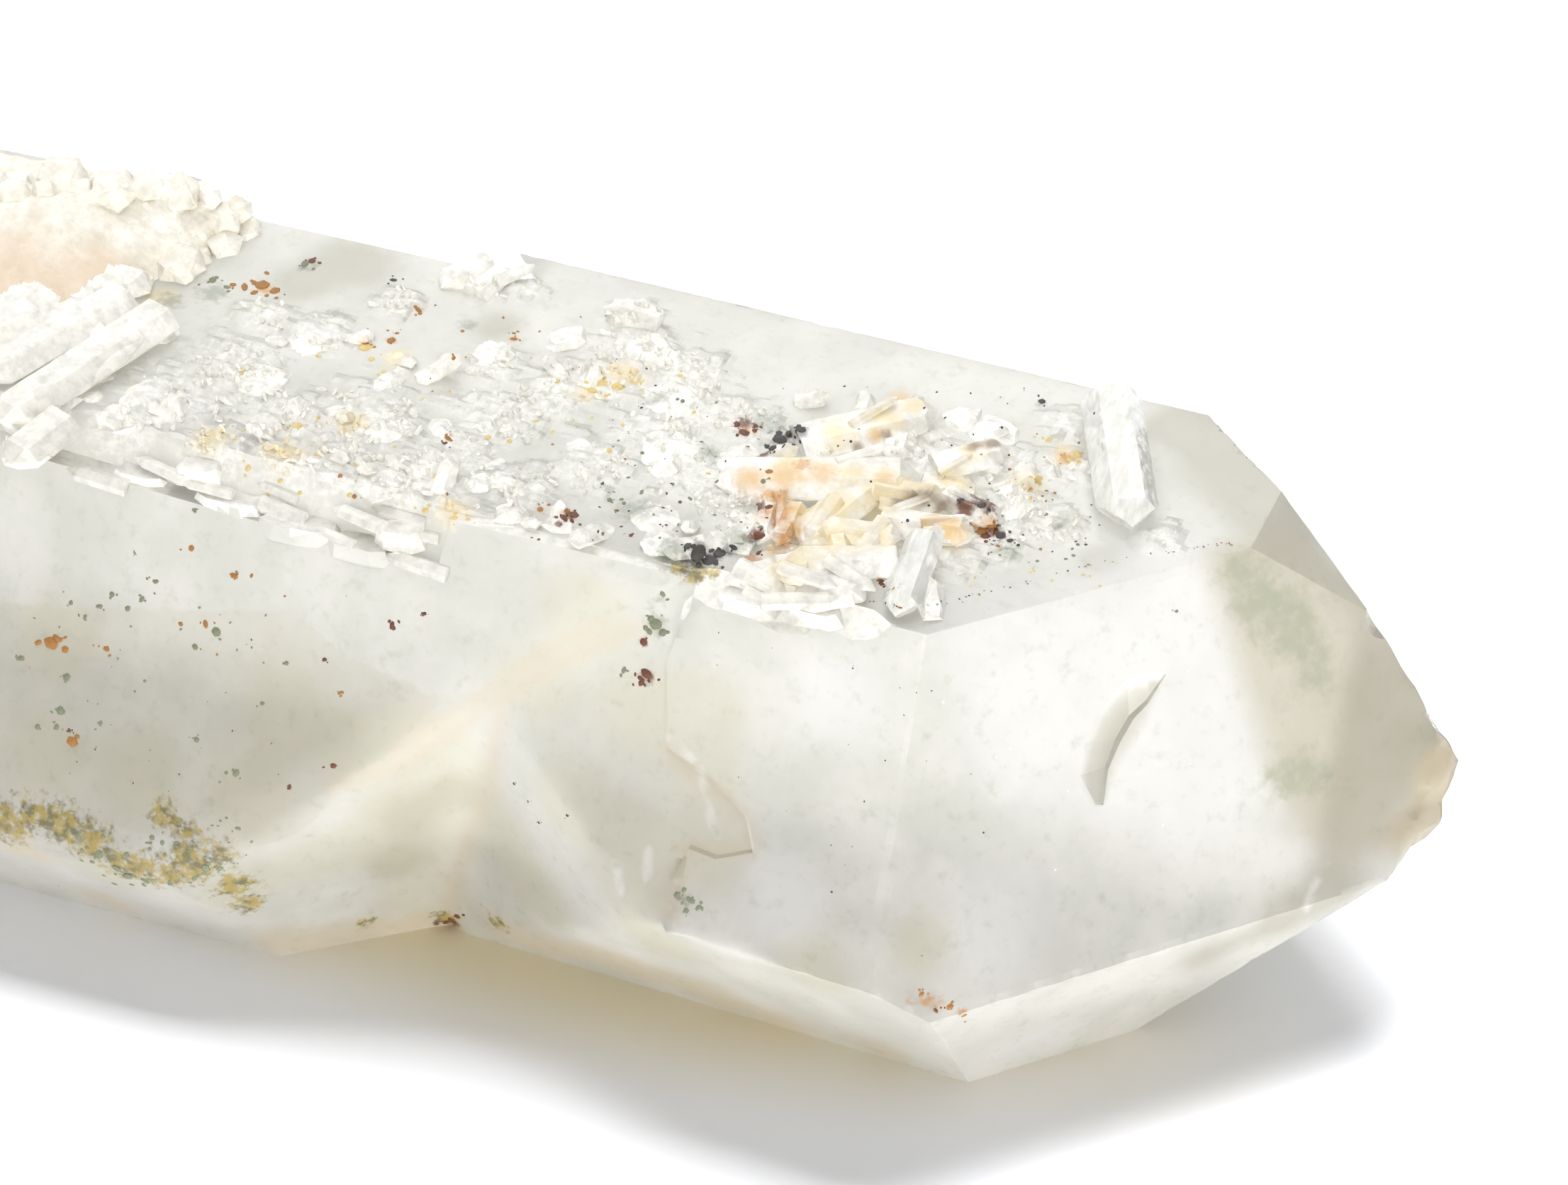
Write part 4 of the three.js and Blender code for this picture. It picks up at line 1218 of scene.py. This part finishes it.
class Scatter:
    """A tree of geometry nodes that strews two small objects over a mesh where it holds cover."""

    INPUTS = (
        ("Bed", "Geometry"), ("Point crystal", "Object"), ("Grain", "Object"), ("Density", "Float"),
        ("Smallest", "Float"), ("Largest", "Float"), ("Tilt", "Float"), ("Seed", "Int"),
        ("Material", "Material"),
    )

    def __init__(self, name):
        self.group = bpy.data.node_groups.new(name, "GeometryNodeTree")
        interface = self.group.interface
        self.sockets = {
            title: interface.new_socket(title, in_out="INPUT", socket_type=f"NodeSocket{kind}").identifier
            for title, kind in self.INPUTS
        }
        interface.new_socket("Crystals", in_out="OUTPUT", socket_type="NodeSocketGeometry")
        self.build(self.node("NodeGroupInput"))

    def node(self, kind, settings=None, inputs=None):
        """Adds a node with its settings, then fills or links the inputs given by name or number."""
        made = self.group.nodes.new(kind)
        for key, setting in (settings or {}).items():
            setattr(made, key, setting)
        for key, value in (inputs or {}).items():
            if isinstance(value, bpy.types.NodeSocket):
                self.group.links.new(value, made.inputs[key])
            else:
                made.inputs[key].default_value = value
        return made.outputs

    def build(self, given):
        cover = self.node("GeometryNodeInputNamedAttribute", {"data_type": "FLOAT"}, {"Name": "cover"})
        density = self.node(
            "ShaderNodeMath", {"operation": "MULTIPLY"}, {0: cover["Attribute"], 1: given["Density"]},
        )
        points = self.node(
            "GeometryNodeDistributePointsOnFaces", None,
            {"Mesh": given["Bed"], "Density": density[0], "Seed": given["Seed"]},
        )
        shapes = self.group.nodes.new("GeometryNodeJoinGeometry")
        for name in ("Grain", "Point crystal"):
            info = self.node("GeometryNodeObjectInfo", None, {"Object": given[name], "As Instance": True})
            self.group.links.new(info["Geometry"], shapes.inputs[0])
        tilt = given["Tilt"]
        back = self.node("ShaderNodeMath", {"operation": "MULTIPLY"}, {0: tilt, 1: -1.0})
        least = self.node("ShaderNodeCombineXYZ", None, {"X": back[0], "Y": back[0]})
        most = self.node("ShaderNodeCombineXYZ", None, {"X": tilt, "Y": tilt, "Z": math.tau})
        lean = self.node(
            "FunctionNodeRandomValue", {"data_type": "FLOAT_VECTOR"}, {0: least[0], 1: most[0]},
        )
        turned = self.node(
            "FunctionNodeRotateEuler", {"rotation_type": "EULER", "space": "LOCAL"},
            {"Rotation": points["Rotation"], "Rotate By": lean[0]},
        )
        size = self.node(
            "FunctionNodeRandomValue", {"data_type": "FLOAT"}, {2: given["Smallest"], 3: given["Largest"]},
        )
        pick = self.node("FunctionNodeRandomValue", {"data_type": "INT"}, {4: 0, 5: 1})
        placed = self.node("GeometryNodeInstanceOnPoints", None, {
            "Points": points["Points"], "Instance": shapes.outputs[0], "Pick Instance": True,
            "Instance Index": pick[2], "Rotation": turned[0], "Scale": size[1],
        })
        real = self.node("GeometryNodeRealizeInstances", None, {"Geometry": placed[0]})
        dressed = self.node(
            "GeometryNodeSetMaterial", None, {"Geometry": real[0], "Material": given["Material"]},
        )
        self.node("NodeGroupOutput", None, {0: dressed[0]})

    def strew(self, name, bed, **values):
        """The plain mesh of what the tree makes on a bed."""
        carrier = new_object(name, bed)
        modifier = carrier.modifiers.new("scatter", "NODES")
        modifier.node_group = self.group
        for key, value in values.items():
            modifier[self.sockets[key.replace("_", " ")]] = value
        carrier.update_tag()
        view = bpy.context.evaluated_depsgraph_get()
        view.update()
        mesh = bpy.data.meshes.new_from_object(carrier.evaluated_get(view), depsgraph=view)
        mesh.name = name
        bpy.data.objects.remove(carrier)
        return mesh


# Grains grow on faces that look up by this much, and from the first height to the second over the top face,
# in millimetres.
BED_UP = 0.25
GROWS_FROM = -0.1
GROWS_TO = 2.2


def bed_of(mesh, cover_of):
    """The upward faces of a mesh, with how thickly the scatter covers each corner."""
    form = bmesh.new()
    form.from_mesh(mesh)
    gone = [face for face in form.faces if face.normal.z < BED_UP]
    bmesh.ops.delete(form, geom=gone, context="FACES")
    bed = finished_mesh("bed", form)
    store(bed, "cover", cover_of(bed))
    return bed


def crust_cover(mesh):
    """Thick in the crust of the top face, and none away from it or on the clear crystals."""
    places = corners(mesh)
    cover = np.clip((0.95 - distances(places, MARKS["crust"])) / 0.5, 0, 1)
    heights = places[:, 2] - np.array([top_height(x, y) for x, y, _ in places])
    cover[(heights < GROWS_FROM) | (heights > GROWS_TO) | (places[:, 0] < MATRIX_START)] = 0
    for index in np.flatnonzero(cover):
        place = Vector(places[index])
        if in_one_of(place, CLEAR_CRYSTALS + BLADES):
            cover[index] = 0
        else:
            cover[index] *= max(0.0, 0.5 + 1.3 * noise.noise(place * 0.35))
    return cover


# Settings

def colour_setting(name, description, default):
    return bpy.props.IntVectorProperty(
        name=name, description=f"{description}, from 0 to 255", size=3, default=default, min=0, max=255,
    )


class QuartzColours(bpy.types.PropertyGroup):
    """The colours of the quartz and of the floor, as a screen shows them."""

    grey: colour_setting("Grey quartz", "Colour of the clearer parts of the large crystals", (206, 206, 199))
    milk: colour_setting("Milky quartz", "Colour of the cloudy quartz", (221, 220, 214))
    bright: colour_setting("Crust", "Colour of the frosty crust on the top", (252, 251, 247))
    young: colour_setting("Young quartz", "Colour of the small crystals on the top", (246, 244, 238))
    clear: colour_setting("Clear crystals", "Colour of the two clear crystals", (248, 248, 245))
    streak: colour_setting("Streaks", "Colour of the streaks in the clear crystals", (222, 222, 217))
    matrix: colour_setting("Matrix", "Darker colour of the matrix", (206, 201, 188))
    pale_matrix: colour_setting("Pale matrix", "Lighter colour of the matrix", (230, 228, 220))
    floor: colour_setting("Floor", "Colour of the studio floor", (242, 243, 247))
    # Painted light and shadow: the floor under the crystal, darker and warmer where light passes through it.
    warm_floor: colour_setting("Warm floor", "Colour of the floor under the crystal", (224, 214, 187))

    def values(self):
        return {key: tuple(getattr(self, key)) for key in type(self).__annotations__}


class QuartzGrowth(bpy.types.PropertyGroup):
    """The grains and small crystals in the crust."""

    density: bpy.props.FloatProperty(
        name="Density", description="Grains on each square millimetre of thick crust", default=2.8, min=0.0,
    )
    smallest: bpy.props.FloatProperty(
        name="Smallest", description="Share of its full size that the smallest grain has", default=0.25,
        min=0.05, subtype="FACTOR",
    )
    largest: bpy.props.FloatProperty(
        name="Largest", description="Share of its full size that the largest grain has", default=0.75,
        min=0.1, subtype="FACTOR",
    )
    tilt: bpy.props.FloatProperty(
        name="Tilt", description="How far grains lean from the surface's normal", default=math.radians(65),
        min=0.0, max=math.pi, subtype="ANGLE",
    )


def power_setting(name, description, default):
    return bpy.props.FloatProperty(
        name=name, description=description, default=default, min=0.0, subtype="POWER",
    )


class QuartzStage(bpy.types.PropertyGroup):
    """The studio round the crystal."""

    floor_size: bpy.props.FloatProperty(
        name="Floor size", description="Side of the square floor", default=4.0, min=0.5, unit="LENGTH",
    )
    sky: bpy.props.FloatProperty(
        name="Sky", description="Strength of the even white light", default=0.57, min=0.0,
    )
    floor_light: power_setting("Floor light", "Power of the light that draws the shadow on the floor", 5.8)
    softbox: power_setting("Softbox", "Power of the large light behind on the left", 4.2)
    fill: power_setting("Fill", "Power of the large light by the camera", 2.85)
    glow: power_setting("Glow", "Power of the light from below, for the light inside the quartz", 0.85)


# The lights: place and side of the square in metres.
LIGHTS = {
    "floor_light": ((-0.02, 0.225, 0.55), 0.3),
    "softbox": ((-0.15, 0.18, 0.50), 0.8),
    "fill": ((0.12, -0.60, 0.16), 0.6),
    "glow": ((0.22, -0.20, -0.16), 0.1),
}
WARM_WHITE = (1.0, 0.972, 0.935)


def hang_light(name, power):
    """A square light that faces the crystal's middle."""
    place, side = LIGHTS[name]
    lamp = bpy.data.lights.new(name, "AREA")
    lamp.shape = "SQUARE"
    lamp.size = side
    lamp.energy = power
    light = new_object(name, lamp)
    light.location = place
    towards = Vector((0, 0, FLOOR_DEPTH * MM)) - light.location
    light.rotation_euler = towards.to_track_quat("-Z", "Y").to_euler()
    return light


def fall_on(light, obj, state):
    """Lets a light fall only on an object, or on all but that object."""
    lit = bpy.data.collections.new(f"{light.name}_falls_on")
    lit.objects.link(obj)
    lit.collection_objects[0].light_linking.link_state = state
    light.light_linking.receiver_collection = lit


def lay_floor(size, colours):
    half = size / 2
    mesh = bpy.data.meshes.new("floor")
    square = [(-half, -half, 0), (half, -half, 0), (half, half, 0), (-half, half, 0)]
    mesh.from_pydata(square, [], [(0, 1, 2, 3)])
    mesh.materials.append(floor_material(colours))
    floor = new_object("floor", mesh)
    return floor


def white_sky(strength):
    world = bpy.data.worlds.new("studio")
    world.use_nodes = True
    sky = world.node_tree.nodes["Background"]
    sky.inputs["Color"].default_value = (1.0, 1.0, 1.0, 1.0)
    sky.inputs["Strength"].default_value = strength
    return world


def set_camera():
    """The camera where the photograph was taken from."""
    lens = bpy.data.cameras.new("camera")
    lens.sensor_width = SENSOR_WIDTH
    lens.lens = FOCAL_PIXELS / PHOTO_SIZE[0] * SENSOR_WIDTH
    lens.clip_start = 0.01
    camera = new_object("camera", lens)
    turned = Matrix(camera_axes()).transposed().to_4x4()
    camera.matrix_world = Matrix.Translation(at(*CAMERA_PLACE)) @ turned
    return camera


# Operators

class QUARTZ_OT_stage(bpy.types.Operator):
    """Lays the floor, hangs the lights and sets the camera as in the photograph"""

    bl_idname = "quartz.stage"
    bl_label = "Studio"

    def execute(self, context):
        scene = context.scene
        stage = scene.quartz_stage
        floor = lay_floor(stage.floor_size, scene.quartz_colours.values())
        scene.world = white_sky(stage.sky)
        lights = {name: hang_light(name, getattr(stage, name)) for name in LIGHTS}
        for name, light in lights.items():
            fall_on(light, floor, "INCLUDE" if name == "floor_light" else "EXCLUDE")
        for name in ("fill", "glow"):
            lights[name].data.color = WARM_WHITE
        lights["glow"].data.use_shadow = False
        scene.camera = set_camera()
        scene.view_settings.view_transform = "Standard"
        scene.cycles.use_denoising = True
        scene.cycles.max_bounces = 6
        scene.cycles.diffuse_bounces = 3
        scene.cycles.glossy_bounces = 2
        scene.cycles.transmission_bounces = 5
        scene.cycles.caustics_reflective = False
        return {"FINISHED"}


class QUARTZ_OT_crystal(bpy.types.Operator):
    """Dresses the large crystals and what has grown on them"""

    bl_idname = "quartz.crystal"
    bl_label = "Crystal"

    def execute(self, context):
        colours = context.scene.quartz_colours.values()
        mesh = crystal_mesh()
        for material in (quartz_material, growth_material, clear_material, matrix_material):
            mesh.materials.append(material(colours))
        crystal = new_piece("crystal", mesh)
        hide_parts(NODE)
        return {"FINISHED"}


class QUARTZ_OT_druse(bpy.types.Operator):
    """Strews grains and small pointed crystals over the crust"""

    bl_idname = "quartz.druse"
    bl_label = "Druse"

    def execute(self, context):
        sizes = context.scene.quartz_growth
        colours = context.scene.quartz_colours.values()
        bed = bed_of(bpy.data.objects["crystal"].data, crust_cover)
        point, grain = template("point_crystal", point_shape), template("grain", grain_shape)
        mesh = Scatter("druse").strew(
            "druse", bed, Point_crystal=point, Grain=grain, Density=sizes.density / MM ** 2,
            Smallest=sizes.smallest, Largest=sizes.largest, Tilt=sizes.tilt, Seed=3,
            Material=growth_material(colours),
        )
        for obj in (point, grain):
            bpy.data.objects.remove(obj)
        mark(mesh)
        new_piece("druse", mesh)
        return {"FINISHED"}


class QUARTZ_OT_shards(bpy.types.Operator):
    """Lays slim crystals in the cluster and along the near edge"""

    bl_idname = "quartz.shards"
    bl_label = "Shards"

    def execute(self, context):
        mesh = shards_mesh(PhotoCaster(bpy.data.objects["crystal"]))
        mesh.materials.append(growth_material(context.scene.quartz_colours.values()))
        new_piece("shards", mesh)
        return {"FINISHED"}


class QUARTZ_OT_specks(bpy.types.Operator):
    """Sets the coloured grains in the surface"""

    bl_idname = "quartz.specks"
    bl_label = "Specks"

    def execute(self, context):
        mesh = specks_mesh(PhotoCaster(bpy.data.objects["crystal"]))
        for name in SPECK_COLOURS:
            mesh.materials.append(speck_material(name))
        new_piece("specks", mesh)
        return {"FINISHED"}


class QUARTZ_PT_panel(bpy.types.Panel):
    """The crystal's pieces and settings"""

    bl_label = "Quartz"
    bl_space_type = "VIEW_3D"
    bl_region_type = "UI"
    bl_category = "Quartz"

    def draw(self, context):
        scene = context.scene
        for group in (scene.quartz_colours, scene.quartz_growth, scene.quartz_stage):
            box = self.layout.box()
            for key in group.__annotations__:
                box.prop(group, key)
        for operator in OPERATORS:
            self.layout.operator(operator.bl_idname)


OPERATORS = [QUARTZ_OT_stage, QUARTZ_OT_crystal, QUARTZ_OT_druse, QUARTZ_OT_shards, QUARTZ_OT_specks]
GROUPS = {"quartz_colours": QuartzColours, "quartz_growth": QuartzGrowth, "quartz_stage": QuartzStage}


def register():
    for kind in (*GROUPS.values(), *OPERATORS, QUARTZ_PT_panel):
        bpy.utils.register_class(kind)
    for name, group in GROUPS.items():
        setattr(bpy.types.Scene, name, bpy.props.PointerProperty(type=group))


def unregister():
    for name in GROUPS:
        delattr(bpy.types.Scene, name)
    for kind in reversed((*GROUPS.values(), *OPERATORS, QUARTZ_PT_panel)):
        bpy.utils.unregister_class(kind)


def main():
    register()
    for operator in OPERATORS:
        group, name = operator.bl_idname.split(".")
        getattr(getattr(bpy.ops, group), name)()


if __name__ == "__main__":
    main()
